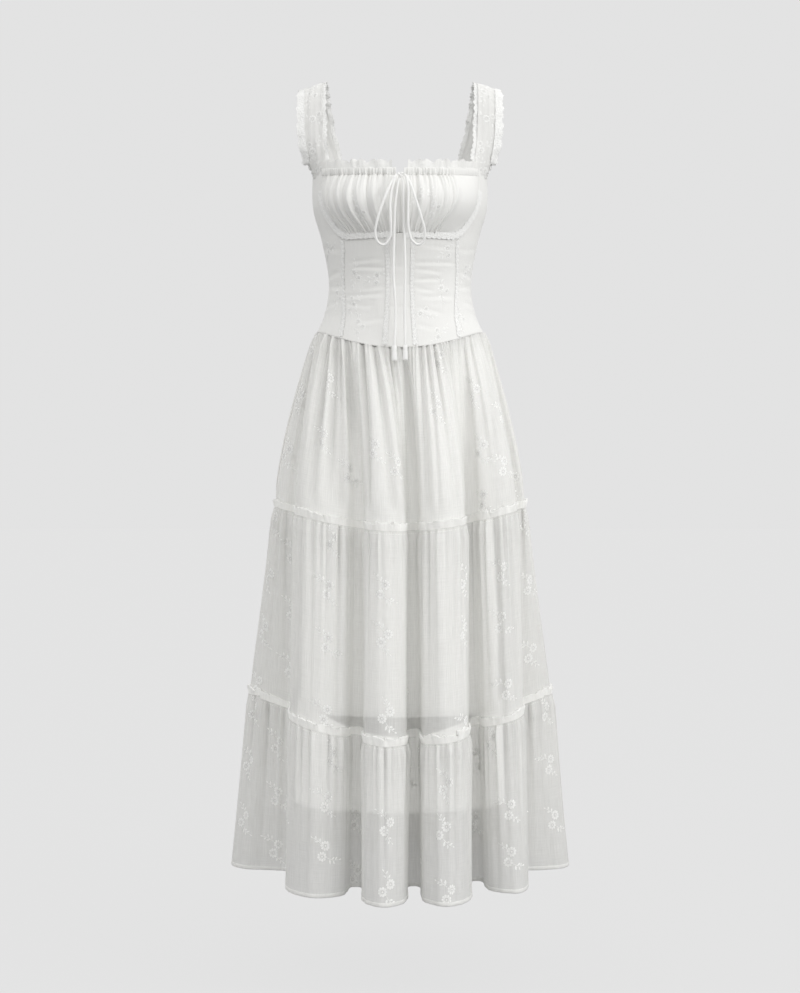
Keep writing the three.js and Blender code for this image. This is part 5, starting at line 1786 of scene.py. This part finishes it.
LAMP_PLACE, LAMP_TARGET, LAMP_SIZE, LAMP_POWER = (1.75, -1.5, 0.1), (0, 0, -0.4), 1.0, 15.5
soft_lamp("key_lamp", LAMP_PLACE, LAMP_TARGET, LAMP_SIZE, LAMP_POWER)
bpy.context.scene.view_settings.view_transform = "Standard"
print("stage set")

# %% [markdown]
# ## Cut sizes
# Each sheet of cloth has the size it was cut to before it was gathered and sewn. Last, the area of
# each grid is printed beside the area of its cut.

# %% Cut sizes
CUTS = {  # width and length in metres, how it is held, and the area where the cut isn't a rectangle
    "bodice_front": (0.090, 0.180, "stretched", 0.0140), "bodice_side": (0.105, 0.300, "stretched", 0.0195),
    "bodice_placket": (0.048, 0.182, "stretched", 0.0077), "bodice_back": (0.380, 0.275, "stretched", 0.0930),
    "cup_shell": (0.212, 0.112, "gathered", 0.0175), "casing_band": (0.200, 0.0125, "gathered", None),
    "frill": (0.160, 0.012, "gathered", None), "strap_band": (0.031, 0.322, "stretched", None),
    "top_tier_shell": (0.950, 0.290, "gathered", None), "middle_tier_shell": (1.290, 0.316, "gathered", None),
    "hem_tier_shell": (1.600, 0.280, "gathered", None), "slip_shell": (0.430, 0.605, "hung", None),
    "underlay_shell": (0.458, 0.168, "hung", None),
}
TRIMS = {  # pieces sewn to a piece of cloth, by the start of its name
    "bodice_front": ("princess_lace_trim", "placket_lace_trim", "underbust_lace_trim"),
    "strap_band": ("strap_outer_trim", "strap_inner_trim"),
    "middle_tier_shell": ("upper_heading_frill",), "hem_tier_shell": ("lower_heading_frill", "hem_band"),
}


def cloth_area(name):
    """Area of a grid in square metres, from the cross products of its quads."""
    grid = GRIDS[name]
    a, b = grid[1:, 1:] - grid[:-1, :-1], grid[1:, :-1] - grid[:-1, 1:]
    return float(np.linalg.norm(np.cross(a, b), axis=-1).sum() / 2) * MM * MM


for name in GRIDS:
    kind, _, word = name.rpartition("_")
    kind = name if name in CUTS else kind
    if kind in CUTS:
        width, length, held, area = CUTS[kind]
        sewn_on = [f"{trim}_{word}" for trim in TRIMS.get(kind, ())]
        sewn_on += [piece.name for piece in bpy.data.objects if piece.name in (
            f"{name}_embroidery", name.replace("_shell", "_embroidery"))]
        print(name, "area", round(cloth_area(name), 4), "of", round(area or width * length, 4))
